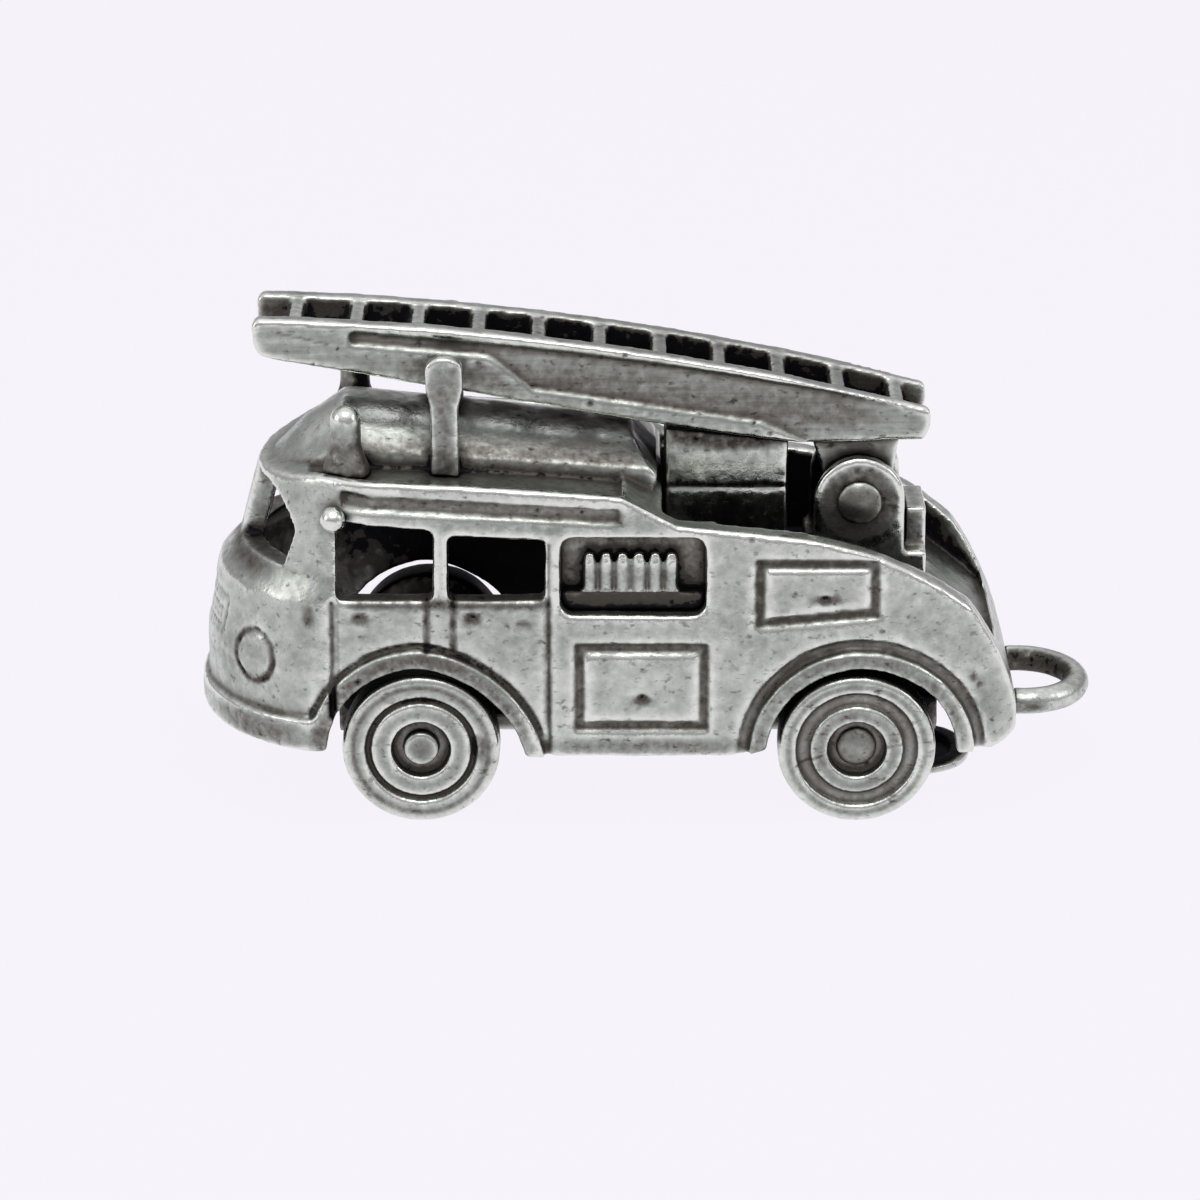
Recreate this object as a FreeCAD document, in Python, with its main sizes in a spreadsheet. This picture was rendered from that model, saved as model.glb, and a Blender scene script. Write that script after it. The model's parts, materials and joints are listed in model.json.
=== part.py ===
import FreeCAD, Part
import math
import os
import re
import Sketcher

# A small cast silver fire engine charm: hollow body, turning wheels and a ladder that lifts.
# X runs towards the engine's nose, Y towards its left side and Z up from the ground.

Vector = FreeCAD.Vector
doc = FreeCAD.newDocument("FireEngineCharm")

# Driving dimensions, all lengths in millimetres and angles in degrees
DIMENSIONS = {
    # Cast wall and the levels at which the body changes its plan
    "wall": 0.75,
    "base_level": 1.5,
    "waist_level": 4.9,
    "belt_level": 7.15,
    "screen_level": 7.85,
    "top_level": 11.3,
    "waist_half": 4.85,
    "belt_draw": 0.23,
    "screen_draw": 0.3,
    "top_draw": 0.65,
    "tail_draw": 1.15,
    "nose_x": 13.75,
    "belt_nose_x": 13.32,
    "screen_nose_x": 12.68,
    "top_nose_x": 11.75,
    "bow_depth": 3.55,
    # Tail plan
    "tail_x": -11.4,
    "tail_turn_x": -6.5,
    "back_bow": 0.12,
    # Side outline: sill, tail curve and roof line
    "sill_front_level": 2.45,
    "sill_corner_x": 9.6,
    "sill_corner_level": 2.45,
    "sill_end_level": 2.2,
    "sill_end_x": 2.9,
    "tail_bottom_level": 2.15,
    "tail_bottom_x": -10.5,
    "tail_low_level": 3.0,
    "tail_corner_bow": 0.22,
    "tail_bend_x": -9.85,
    "tail_bend_level": 6.86,
    "tail_low_bow": 0.22,
    "shoulder_x": -4.0,
    "shoulder_level": 9.25,
    "shoulder_bow": 0.5,
    "step_foot_x": -0.9,
    "step_foot_level": 9.58,
    "step_head_x": 0.8,
    "step_head_level": 10.47,
    "roof_front_x": 9.8,
    "roof_front_level": 10.95,
    "roof_bow": 0.08,
    "brow_level": 10.4,
    "brow_x": 11.9,
    # Roof gutter, cab ceiling and rear deck
    "rim_width": 0.4,
    "gutter_depth": 0.2,
    "gutter_front_x": 10.3,
    "roof_thickness": 0.7,
    "bulkhead_x": -0.45,
    "deck_level": 6.3,
    "deck_thickness": 0.7,
    "deck_bend_x": -8.9,
    "deck_fall": 2.4,
    "deck_run": 3.3,
    # Wheel arches
    "arch_radius": 2.9,
    "arch_level": 2.25,
    "front_arch_toe": 0.3,
    "rear_arch_toe": 0.08,
    "front_arch_x": 6.93,
    "rear_arch_x": -6.56,
    "front_flare_radius": 3.5,
    "rear_flare_radius": 3.45,
    "flare_proud": 0.17,
    "front_flare_groove": 0.18,
    "rear_flare_groove": 0.36,
    # Bumper
    "bumper_reach": 0.2,
    "bumper_top_level": 3.3,
    "bumper_end_top_level": 3.5,
    "bumper_end_x": 9.9,
    # Side windows
    "window_sill_level": 7.27,
    "window_round": 0.14,
    "front_window_front_x": 9.45,
    "front_window_rear_x": 6.5,
    "front_window_front_level": 9.68,
    "front_window_rear_level": 9.43,
    "rear_window_front_x": 6.05,
    "rear_window_rear_x": 3.1,
    "rear_window_front_level": 9.26,
    "rear_window_rear_level": 9.13,
    # Windscreen
    "screen_bar_half": 0.7,
    "screen_cut_x": 10.0,
    "screen_bottom_level": 7.95,
    "screen_outer_half": 3.4,
    "screen_outer_level": 9.1,
    "screen_top_half": 1.5,
    "screen_top_level": 10.2,
    "screen_corner_bow": 0.32,
    # Bottle locker in the side wall
    "locker_front_x": 2.64,
    "locker_rear_x": -1.76,
    "locker_floor_level": 6.8,
    "locker_front_level": 9.22,
    "locker_rear_level": 9.2,
    "locker_depth": 1.1,
    "locker_box_depth": 1.55,
    "locker_round": 0.38,
    "locker_box_margin": 0.4,
    "bottle_count": 6,
    "bottle_radius": 0.22,
    "bottle_height": 1.25,
    "bottle_pitch": 0.5,
    "bottle_first_x": 1.76,
    "bottle_ledge_height": 0.6,
    "bottle_ledge_depth": 0.5,
    # Grooves scored into the outer wall
    "groove_depth": 0.13,
    "groove_width": 0.36,
    "seam_width": 0.16,
    "door_front_x": 9.6,
    "pillar_front_x": 6.72,
    "pillar_rear_x": 5.95,
    "door_rear_x": 3.0,
    "low_panel_front_x": 2.24,
    "low_panel_rear_x": -1.9,
    "low_panel_top_level": 5.93,
    "low_panel_bottom_level": 3.05,
    "high_panel_front_x": -3.25,
    "high_panel_rear_x": -7.08,
    "high_panel_top_level": 8.55,
    "high_panel_front_level": 6.37,
    "high_panel_rear_level": 6.69,
    "sill_line_level": 2.45,
    "sill_line_front_x": 2.0,
    "sill_line_rear_x": -1.7,
    "sill_line_width": 0.1,
    "handle_half_length": 0.22,
    "handle_half_height": 0.12,
    "low_handle_x": 0.15,
    "low_handle_level": 4.2,
    "high_handle_x": -5.4,
    "high_handle_level": 7.35,
    "front_handle_x": 8.8,
    "rear_handle_x": 5.3,
    "door_handle_level": 6.75,
    "cove_top": 0.35,
    "cove_bottom": 0.85,
    "cove_front_x": 9.3,
    # Head lamps and the grille, scored into the nose
    "lamp_x": 12.05,
    "lamp_y": 3.65,
    "lamp_level": 5.12,
    "lamp_radius": 0.88,
    "lamp_turn": 45,
    "lamp_line_width": 0.15,
    "grille_half": 2.3,
    "grille_bottom_level": 5.2,
    "grille_top_level": 6.5,
    "grille_slots": 4,
    "grille_slot_width": 0.14,
    "grille_margin": 0.3,
    # Roof dome
    "dome_half": 2.3,
    "dome_foot_level": 10.1,
    "dome_rear_foot_x": -0.3,
    "dome_rear_top_x": 0.46,
    "dome_crown_front_x": 9.3,
    "dome_crown_level": 12.42,
    "dome_crown_rise": 1.15,
    "dome_rear_level": 11.38,
    "dome_rear_rise": 0.75,
    "dome_brow_x": 10.6,
    "dome_brow_half": 1.9,
    "dome_brow_level": 11.5,
    "dome_brow_rise": 0.8,
    "dome_front_x": 11.6,
    "dome_front_half": 1.3,
    "dome_front_level": 10.45,
    "dome_front_rise": 0.25,
    # Axles and wheels
    "axle_level": 2.43,
    "front_axle_x": 6.93,
    "rear_axle_x": -6.44,
    "axle_radius": 0.38,
    "running_clearance": 0.05,
    "wheel_radius": 2.43,
    "wheel_width": 1.23,
    "tread_round": 0.22,
    "hub_recess_radius": 0.9,
    "hub_recess_depth": 0.4,
    "front_ring_inner_radius": 1.54,
    "front_ring_outer_radius": 1.72,
    "rear_ring_inner_radius": 1.43,
    "rear_ring_outer_radius": 1.87,
    "ring_groove_depth": 0.18,
    "axle_head_radius": 0.55,
    "rear_head_radius": 0.64,
    "axle_head_height": 0.3,
    "head_rim_height": 0.08,
    "head_gap": 0.04,
    # Chassis that carries the axles
    "chassis_bottom_level": 2.05,
    "chassis_inset": 2.3,
    "chassis_top_level": 2.75,
    "chassis_front_x": 7.6,
    "chassis_rear_x": -7.1,
    "hub_boss_radius": 0.75,
    "hub_boss_gap": 0.08,
    "arm_half_length": 1.8,
    "arm_bottom_level": 2.45,
    # Flat eye on a bent tongue under the tail
    "eye_x": -8.45,
    "eye_radius": 1.85,
    "eye_hole_radius": 1.25,
    "eye_top_level": 0.5,
    "eye_thickness": 0.3,
    "eye_hole_depth": 0.2,
    "tongue_half": 0.45,
    "tongue_thickness": 0.3,
    # Hose box on the rear deck
    "box_front_x": -0.55,
    "box_rear_x": -4.35,
    "box_half": 1.15,
    "box_seam_level": 9.6,
    "box_seam_width": 0.12,
    "box_front_top_level": 11.6,
    "box_rear_top_level": 11.2,
    # Ladder bracket and its pin
    "pin_x": -6.55,
    "pin_level": 9.35,
    "pin_radius": 0.45,
    "pin_head_radius": 0.7,
    "pin_head_height": 0.36,
    "pin_rim_height": 0.12,
    "ear_radius": 1.4,
    "ear_inner": 1.15,
    "ear_outer": 1.62,
    "bracket_base_level": 7.7,
    "bracket_front_x": -4.95,
    "post_front_x": -7.98,
    "post_rear_x": -8.64,
    "post_top_level": 8.95,
    "post_half": 1.05,
    # Ladder, drawn from its pin along its own length
    "ladder_slope": 7.9,
    "ladder_front": 19.1,
    "ladder_rear": -1.65,
    "rail_outer": 1.55,
    "rail_inner": 0.95,
    "rail_front_bottom": 2.08,
    "rail_rear_bottom": 2.2,
    "rail_low_front_x": 6.5,
    "rail_low_rear_x": 1.6,
    "rail_low": 1.62,
    "rail_low_bow": 0.04,
    "rail_front_top": 3.28,
    "rail_rear_top": 3.18,
    "rail_top_bow": 0.6,
    "tip_bow": 0.12,
    "tip_height": 0.5,
    "rung_count": 11,
    "rung_first": -0.7,
    "rung_pitch": 1.86,
    "rung_length": 0.46,
    "rung_bottom": 2.75,
    "rung_drop": 0.12,
    "rung_floor": 2.4,
    "foot_bottom": 1.95,
    "foot_front": 1.9,
    "lug_half": 0.9,
    "lug_front": 1.9,
    "lug_rear": -0.95,
    "block_x": 16.2,
    "channel_depth": 0.16,
    "channel_front_top": 3.27,
    "channel_rear_top": 2.85,
    "channel_top_bow": 0.49,
    "strip_front_level": 2.88,
    "strip_head_x": 11.9,
    "strip_head_level": 3.06,
    "strip_foot_x": 10.5,
    "strip_foot_level": 2.2,
    "strip_rear_x": 3.4,
    "strip_rear_level": 2.1,
    "strip_end_x": 1.9,
    # Ladder rest, roof posts and corner lamps
    "rest_x": 6.15,
    "rest_length": 0.85,
    "rest_head_length": 1.15,
    "rest_inset": 1.95,
    "prong_width": 0.55,
    "rest_top_level": 14.45,
    "rest_bar_top_level": 12.86,
    "rest_bar_height": 0.5,
    "post_x": 9.15,
    "post_inset": 2.0,
    "post_radius": 0.48,
    "post_foot_radius": 0.74,
    "post_height_level": 12.95,
    "ball_x": 9.5,
    "ball_inset": 0.55,
    "ball_level": 9.8,
    "ball_radius": 0.42,
    # Hanging ring at the tail
    "ring_x": -11.85,
    "ring_level": 2.75,
    "ring_radius": 1.75,
    "ring_wire_radius": 0.41,
    # Margin by which cutting tools reach past the metal
    "reach": 4.0,
}

sheet = doc.addObject("Spreadsheet::Sheet", "Sizes")
for row, (alias, number) in enumerate(DIMENSIONS.items(), 1):
    sheet.set(f"A{row}", alias)
    sheet.set(f"B{row}", str(number))
    sheet.setAlias(f"B{row}", alias)
doc.recompute()


def formula(text):
    """Point every dimension named in a formula at its cell."""
    def cell(match):
        word = match.group()
        return f"Sizes.{word}" if word in DIMENSIONS else word
    return re.sub(r"[a-z_]+", cell, text)


def value(text):
    """Work out a formula in millimetres or degrees."""
    return float(sheet.evalExpression(formula(text)))


def bind(item, prop, text):
    item.setExpression(prop, formula(text))


# Sketch helpers

def sketch_on(body, name, role, offset=None):
    """Start a sketch on one of the body's own origin planes."""
    sketch = body.newObject("Sketcher::SketchObject", name)
    plane = [item for item in body.Origin.OriginFeatures if item.Role == role][0]
    sketch.AttachmentSupport = (plane, [""])
    sketch.MapMode = "FlatFace"
    if offset:
        bind(sketch, "AttachmentOffset.Base.z", offset)
    return sketch


def arc_through(start, end, rise):
    """An arc between two points whose middle stands off the chord by rise, to its right."""
    chord = end - start
    span = chord.Length
    radius = (span * span / 4 + rise * rise) / (2 * abs(rise))
    side = Vector(chord.y, -chord.x, 0).normalize() * (1 if rise > 0 else -1)
    centre = (start + end) * 0.5 + side * (abs(rise) - radius)
    first, last = (start, end) if rise > 0 else (end, start)
    from_angle = math.atan2(first.y - centre.y, first.x - centre.x)
    to_angle = math.atan2(last.y - centre.y, last.x - centre.x)
    if to_angle < from_angle:
        to_angle += 2 * math.pi
    circle = Part.Circle(centre, Vector(0, 0, 1), radius)
    return Part.ArcOfCircle(circle, from_angle, to_angle)


def outline(sketch, points):
    """Draw a closed outline; a third entry of a point is the bulge of the edge that leaves it."""
    first = sketch.GeometryCount
    places = [Vector(value(point[0]), value(point[1]), 0) for point in points]
    starts = []
    for index, point in enumerate(points):
        start = places[index]
        end = places[(index + 1) % len(points)]
        if len(point) == 3:
            rise = value(point[2])
            sketch.addGeometry(arc_through(start, end, rise))
            starts.append(1 if rise > 0 else 2)
        else:
            sketch.addGeometry(Part.LineSegment(start, end))
            starts.append(1)
    for index, point in enumerate(points):
        edge = first + index
        following = first + (index + 1) % len(points)
        edge_end = 3 - starts[index]
        sketch.addConstraint(Sketcher.Constraint(
            "Coincident", edge, edge_end, following, starts[(index + 1) % len(points)]))
    for index, point in enumerate(points):
        edge = first + index
        for kind, axis, text, number in (
                ("DistanceX", "x", point[0], places[index].x),
                ("DistanceY", "y", point[1], places[index].y)):
            mark = sketch.addConstraint(Sketcher.Constraint(kind, -1, 1, edge, starts[index], number))
            sketch.renameConstraint(mark, f"{axis}{edge}")
            bind(sketch, f"Constraints.{axis}{edge}", text)
        if len(point) == 3:
            after = points[(index + 1) % len(points)]
            chord = f"(({after[0]}) - ({point[0]})) ^ 2 + (({after[1]}) - ({point[1]})) ^ 2"
            radius = f"(({chord}) / 4 + ({point[2]}) ^ 2) / (2 * abs({point[2]}))"
            mark = sketch.addConstraint(Sketcher.Constraint("Radius", edge, value(radius)))
            sketch.renameConstraint(mark, f"radius{edge}")
            bind(sketch, f"Constraints.radius{edge}", radius)


def circle(sketch, across, up, radius):
    """Draw a full circle."""
    edge = sketch.addGeometry(Part.Circle(Vector(value(across), value(up), 0), Vector(0, 0, 1), value(radius)))
    for kind, axis, text in (("DistanceX", "x", across), ("DistanceY", "y", up)):
        mark = sketch.addConstraint(Sketcher.Constraint(kind, -1, 1, edge, 3, value(text)))
        sketch.renameConstraint(mark, f"{axis}{edge}")
        bind(sketch, f"Constraints.{axis}{edge}", text)
    mark = sketch.addConstraint(Sketcher.Constraint("Radius", edge, value(radius)))
    sketch.renameConstraint(mark, f"radius{edge}")
    bind(sketch, f"Constraints.radius{edge}", radius)


def rectangle(low_x, low_y, high_x, high_y):
    return [(low_x, low_y), (high_x, low_y), (high_x, high_y), (low_x, high_y)]


# Feature helpers

def new_body(name):
    return doc.addObject("PartDesign::Body", name)


def pad(body, sketch, length, both_sides=True, backwards=False):
    """Pad a sketch by a length, which is the whole width when it goes to both sides."""
    feature = body.newObject("PartDesign::Pad", sketch.Name + "_pad")
    feature.Profile = sketch
    if both_sides:
        feature.SideType = "Symmetric"
    feature.Reversed = backwards
    bind(feature, "Length", length)
    return feature


def pocket(body, sketch, length, both_sides=True, backwards=False):
    feature = body.newObject("PartDesign::Pocket", sketch.Name + "_pocket")
    feature.Profile = sketch
    if both_sides:
        feature.SideType = "Symmetric"
    feature.Reversed = backwards
    bind(feature, "Length", length)
    return feature


def revolve(body, sketch, axis):
    feature = body.newObject("PartDesign::Revolution", sketch.Name + "_turned")
    feature.Profile = sketch
    feature.ReferenceAxis = (sketch, [axis])
    feature.Angle = 360
    return feature


def place(item, x="0", y="0", z="0"):
    for axis, text in (("x", x), ("y", y), ("z", z)):
        if text != "0":
            bind(item, f".Placement.Base.{axis}", text)


def fused(name, shapes):
    item = doc.addObject("Part::MultiFuse", name)
    item.Shapes = shapes
    return item


def cut(name, base, tool):
    item = doc.addObject("Part::Cut", name)
    item.Base = base
    item.Tool = tool
    return item


def mirrored(name, source):
    """The same piece on the engine's right side."""
    item = doc.addObject("Part::Mirroring", name)
    item.Source = source
    item.Normal = Vector(0, 1, 0)
    return item


# Body of the engine

BOX = "30"
SIDE = "XZ_Plane"
QUARTER = "(1 - sqrt(0.5))"


def cap_rise(radius, height):
    """The bulge of the arc from a round cap's rim to its crown."""
    ball = f"(({radius}) ^ 2 + ({height}) ^ 2) / (2 * ({height}))"
    return f"{ball} - sqrt(({ball}) ^ 2 - (({radius}) ^ 2 + ({height}) ^ 2) / 4)"


def half_round(centre, level, radius):
    """The points of a half round over a centre, from its front end to its rear end."""
    return [
        (f"{centre} + {radius}", level, f"{radius} * {QUARTER}"),
        (centre, f"{level} + {radius}", f"{radius} * {QUARTER}"),
        (f"{centre} - {radius}", level),
    ]


def plan_section(body, name, level, nose, half, inset):
    """The body's plan at one level: bowed nose, straight sides and a tail that draws in."""
    sketch = sketch_on(body, name, "XY_Plane", level)
    side = f"({half} - {inset})"
    corner = f"({half} - tail_draw - {inset})"
    front = f"({nose} - bow_depth - {inset})"
    back = f"(tail_x + {inset})"
    drop = f"({side} - {corner})"
    run = f"(tail_turn_x - {back})"
    radius = f"(({run} ^ 2 + {drop} ^ 2) / (2 * {drop}))"
    half_chord = f"(sqrt({run} ^ 2 + {drop} ^ 2) / 2)"
    sagitta = f"({radius} - sqrt({radius} ^ 2 - {half_chord} ^ 2))"
    outline(sketch, [
        (front, f"-{side}", "bow_depth"),
        (front, side),
        ("tail_turn_x", side, sagitta),
        (back, corner, "back_bow"),
        (back, f"-{corner}", sagitta),
        ("tail_turn_x", f"-{side}"),
    ])
    return sketch


def loft(body, sections):
    feature = body.newObject("PartDesign::AdditiveLoft", sections[0].Name + "_loft")
    feature.Profile = sections[0]
    feature.Sections = sections[1:]
    feature.Ruled = True
    return feature


def hull(name, inset, side_points):
    """The body's outer form drawn in by an inset and trimmed to a side outline."""
    body = new_body(name)
    loft(body, [
        plan_section(body, name + "_base", "base_level", "nose_x", "waist_half", inset),
        plan_section(body, name + "_waist", "waist_level", "nose_x", "waist_half", inset),
        plan_section(body, name + "_belt", "belt_level", "belt_nose_x", "(waist_half - belt_draw)", inset),
        plan_section(body, name + "_screen", "screen_level", "screen_nose_x", "(waist_half - screen_draw)", inset),
        plan_section(body, name + "_top", "top_level", "top_nose_x", "(waist_half - top_draw)", inset),
    ])
    sketch = sketch_on(body, name + "_side", SIDE)
    outline(sketch, rectangle(f"-{BOX}", f"-{BOX}", BOX, BOX))
    outline(sketch, side_points)
    pocket(body, sketch, BOX)
    return body


def roof_line(drop):
    """The side outline from the tail to the brow, lowered by a drop, front to rear."""
    return [
        ("nose_x + reach", f"brow_level - ({drop})"),
        ("brow_x", f"brow_level - ({drop})"),
        ("roof_front_x", f"roof_front_level - ({drop})", "roof_bow"),
        ("step_head_x", f"step_head_level - ({drop})"),
    ]


OUTER_SIDE = [
    ("tail_bottom_x", "tail_bottom_level"),
    ("rear_arch_x + arch_radius", "sill_corner_level"),
    ("-sill_end_x", "sill_end_level"),
    ("sill_end_x", "sill_end_level"),
    ("sill_corner_x", "sill_corner_level"),
    ("nose_x + reach", "sill_front_level"),
] + roof_line("0") + [
    ("step_foot_x", "step_foot_level"),
    ("shoulder_x", "shoulder_level", "shoulder_bow"),
    ("tail_bend_x", "tail_bend_level", "tail_low_bow"),
    ("tail_x - back_bow", "tail_low_level", "tail_corner_bow"),
]

CAVITY_SIDE = [
    ("tail_x - reach", "0"),
    ("nose_x + reach", "0"),
] + roof_line("gutter_depth + roof_thickness")[:3] + [
    ("bulkhead_x + wall", "step_head_level - gutter_depth - roof_thickness"),
    ("bulkhead_x + wall", "deck_level - deck_thickness"),
    ("deck_bend_x", "deck_level - deck_thickness"),
    ("deck_bend_x - deck_run", "deck_level - deck_thickness - deck_fall"),
    ("tail_x - reach", "deck_level - deck_thickness - deck_fall"),
]

WELL_SIDE = [
    ("bulkhead_x", "deck_level"),
    ("bulkhead_x", "top_level + reach"),
    ("tail_x - reach", "top_level + reach"),
    ("tail_x - reach", "deck_level - deck_fall"),
    ("deck_bend_x - deck_run", "deck_level - deck_fall"),
    ("deck_bend_x", "deck_level"),
]

GUTTER_SIDE = [
    ("gutter_front_x", "roof_front_level - gutter_depth"),
    ("roof_front_x", "roof_front_level - gutter_depth", "roof_bow"),
    ("step_head_x", "step_head_level - gutter_depth"),
    ("step_head_x", "top_level + reach"),
    ("gutter_front_x", "top_level + reach"),
]

BAND_SIDE = [
    ("bumper_end_x", "sill_front_level"),
    ("nose_x + reach", "sill_front_level"),
    ("nose_x + reach", "bumper_top_level"),
    ("bumper_end_x", "bumper_end_top_level"),
]

hull_outer = hull("hull_outer", "0", OUTER_SIDE)
hull_cavity = hull("hull_cavity", "wall", CAVITY_SIDE)
hull_well = hull("hull_well", "wall", WELL_SIDE)
hull_gutter = hull("hull_gutter", "rim_width", GUTTER_SIDE)
hull_flare = hull("hull_flare", "-flare_proud", OUTER_SIDE)
hull_band = hull("hull_band", "-bumper_reach", BAND_SIDE)
hull_groove_floor = hull("hull_groove_floor", "groove_depth", rectangle(f"-{BOX} + 1", f"-{BOX} + 1", "19", "19"))


def arch_outline(sketch, centre, radius, toe, foot):
    """A wheel arch from the side: round over the wheel, its rear leg drawn back by a toe."""
    outline(sketch, [
        (f"{centre} - {radius} - {toe}", foot),
        (f"{centre} + {radius}", foot),
        (f"{centre} + {radius}", "arch_level", f"({radius}) * {QUARTER}"),
        (centre, f"arch_level + {radius}", f"({radius}) * {QUARTER} - {toe} * 0.6"),
        (f"{centre} - {radius} - {toe}", "arch_level"),
    ])


def arch_form(name, centre, radius, toe):
    """A wheel arch's side outline, padded through the body."""
    body = new_body(name)
    sketch = sketch_on(body, name + "_side", SIDE)
    arch_outline(sketch, centre, radius, toe, "0")
    pad(body, sketch, BOX)
    return body


def common(name, shapes):
    item = doc.addObject("Part::MultiCommon", name)
    item.Shapes = shapes
    return item


# Flares that stand out round the arches and follow the body's plan, and the arches themselves
front_flare = common("front_flare", [
    hull_flare, arch_form("front_flare_form", "front_arch_x", "front_flare_radius", "front_arch_toe")])
rear_flare = common("rear_flare", [
    hull_flare, arch_form("rear_flare_form", "rear_arch_x", "rear_flare_radius", "rear_arch_toe")])
front_arch = arch_form("front_arch", "front_arch_x", "arch_radius", "front_arch_toe")
rear_arch = arch_form("rear_arch", "rear_arch_x", "arch_radius", "rear_arch_toe")

# Bumper band round the bow, hollow behind
bumper = cut("bumper_band", hull_band, hull_cavity)


def rounded_opening(sketch, rear, front, bottom, front_top, rear_top, radius):
    """A four-sided opening with level sill, sloping head and rounded corners."""
    slope = f"({front_top} - {rear_top}) / ({front} - {rear}) * {radius}"
    bulge = f"{radius} * {QUARTER}"
    outline(sketch, [
        (f"{rear} + {radius}", bottom),
        (f"{front} - {radius}", bottom, bulge),
        (front, f"{bottom} + {radius}"),
        (front, f"{front_top} - {radius}", bulge),
        (f"{front} - {radius}", f"{front_top} - {slope}"),
        (f"{rear} + {radius}", f"{rear_top} + {slope}", bulge),
        (rear, f"{rear_top} - {radius}"),
        (rear, f"{bottom} + {radius}", bulge),
    ])


# Backs of the bottle lockers, standing in from the side walls
locker_box = new_body("locker_box")
locker_box_side = sketch_on(locker_box, "locker_box_side", SIDE, "-(waist_half - locker_box_depth)")
outline(locker_box_side, rectangle(
    "locker_rear_x - locker_box_margin", "locker_floor_level - locker_box_margin",
    "locker_front_x + locker_box_margin", "locker_rear_level + locker_box_margin / 2"))
pad(locker_box, locker_box_side, "locker_box_depth - belt_draw - wall / 2", both_sides=False, backwards=True)
locker_box_right = mirrored("locker_box_right", locker_box)

locker_recess = new_body("locker_recess")
locker_recess_side = sketch_on(locker_recess, "locker_recess_side", SIDE, "-(waist_half - locker_depth)")
rounded_opening(
    locker_recess_side, "locker_rear_x", "locker_front_x",
    "locker_floor_level", "locker_front_level", "locker_rear_level", "locker_round")
pad(locker_recess, locker_recess_side, "reach", both_sides=False, backwards=True)
locker_recess_right = mirrored("locker_recess_right", locker_recess)

# Openings through the cab walls
windows = new_body("side_windows")
for window in ("front", "rear"):
    window_side = sketch_on(windows, window + "_window_side", SIDE)
    rounded_opening(
        window_side, f"{window}_window_rear_x", f"{window}_window_front_x",
        "window_sill_level", f"{window}_window_front_level", f"{window}_window_rear_level", "window_round")
    pad(windows, window_side, BOX)

screen = new_body("windscreen")
screen_front = sketch_on(screen, "screen_front", "YZ_Plane", "screen_cut_x")
for side in ("", "-"):
    outline(screen_front, [
        (f"{side}screen_bar_half", "screen_bottom_level"),
        (f"{side}screen_outer_half", "screen_bottom_level"),
        (f"{side}screen_outer_half", "screen_outer_level", f"{side}screen_corner_bow"),
        (f"{side}screen_top_half", "screen_top_level"),
        (f"{side}screen_bar_half", "screen_top_level"),
    ])
pad(screen, screen_front, "reach", both_sides=False)

# Scored seams and panel frames on both sides
grooves = new_body("side_grooves")


def frame_groove(name, corners):
    """A scored frame: an outline with a copy drawn in by the groove's width."""
    sketch = sketch_on(grooves, name, SIDE)
    rear, front, bottom_rear, bottom_front, top = corners
    outline(sketch, [(rear, bottom_rear), (front, bottom_front), (front, top), (rear, top)])
    outline(sketch, [
        (f"{rear} + groove_width", f"{bottom_rear} + groove_width"),
        (f"{front} - groove_width", f"{bottom_front} + groove_width"),
        (f"{front} - groove_width", f"{top} - groove_width"),
        (f"{rear} + groove_width", f"{top} - groove_width"),
    ])
    pad(grooves, sketch, BOX)


def seam_groove(name, middle, bottom, top):
    """A scored upright line."""
    sketch = sketch_on(grooves, name, SIDE)
    outline(sketch, rectangle(
        f"{middle} - seam_width / 2", bottom, f"{middle} + seam_width / 2", top))
    pad(grooves, sketch, BOX)


frame_groove("low_panel", (
    "low_panel_rear_x", "low_panel_front_x",
    "low_panel_bottom_level", "low_panel_bottom_level", "low_panel_top_level"))
frame_groove("high_panel", (
    "high_panel_rear_x", "high_panel_front_x",
    "high_panel_rear_level", "high_panel_front_level", "high_panel_top_level"))
seam_groove("door_front_seam", "door_front_x", "bumper_end_top_level", "window_sill_level")
for seam in ("front", "rear"):
    seam_groove(
        f"pillar_{seam}_seam", f"pillar_{seam}_x",
        "arch_level + front_flare_radius - seam_width", "window_sill_level")
seam_groove("door_rear_seam", "door_rear_x", "base_level", "rear_window_rear_level")

sill_line = sketch_on(grooves, "sill_line", SIDE)
outline(sill_line, rectangle(
    "sill_line_rear_x", "sill_line_level", "sill_line_front_x", "sill_line_level + sill_line_width"))
pad(grooves, sill_line, BOX)

# Sunken cove below the roof's edge
cove = sketch_on(grooves, "roof_cove", SIDE)
outline(cove, [
    ("step_head_x", "step_head_level - cove_bottom"),
    ("cove_front_x", "roof_front_level - cove_bottom"),
    ("cove_front_x", "roof_front_level - cove_top"),
    ("step_head_x", "step_head_level - cove_top"),
])
pad(grooves, cove, BOX)

# Grooves that set off the flares
for arch in ("front", "rear"):
    flare_line = sketch_on(grooves, f"{arch}_flare_line", SIDE)
    flare_radius = f"{arch}_flare_radius"
    arch_outline(
        flare_line, f"{arch}_arch_x", f"({flare_radius} + {arch}_flare_groove)", f"{arch}_arch_toe", "0")
    arch_outline(flare_line, f"{arch}_arch_x", flare_radius, f"{arch}_arch_toe", "seam_width")
    pad(grooves, flare_line, BOX)

# Small sunken handles on the panels and doors
for handle, level in (
        ("low_handle", "low_handle_level"), ("high_handle", "high_handle_level"),
        ("front_handle", "door_handle_level"), ("rear_handle", "door_handle_level")):
    handle_side = sketch_on(grooves, handle, SIDE)
    outline(handle_side, [
        (f"{handle}_x - handle_half_length", level),
        (f"{handle}_x", f"{level} - handle_half_height"),
        (f"{handle}_x + handle_half_length", level),
        (f"{handle}_x", f"{level} + handle_half_height"),
    ])
    pad(grooves, handle_side, BOX)

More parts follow.
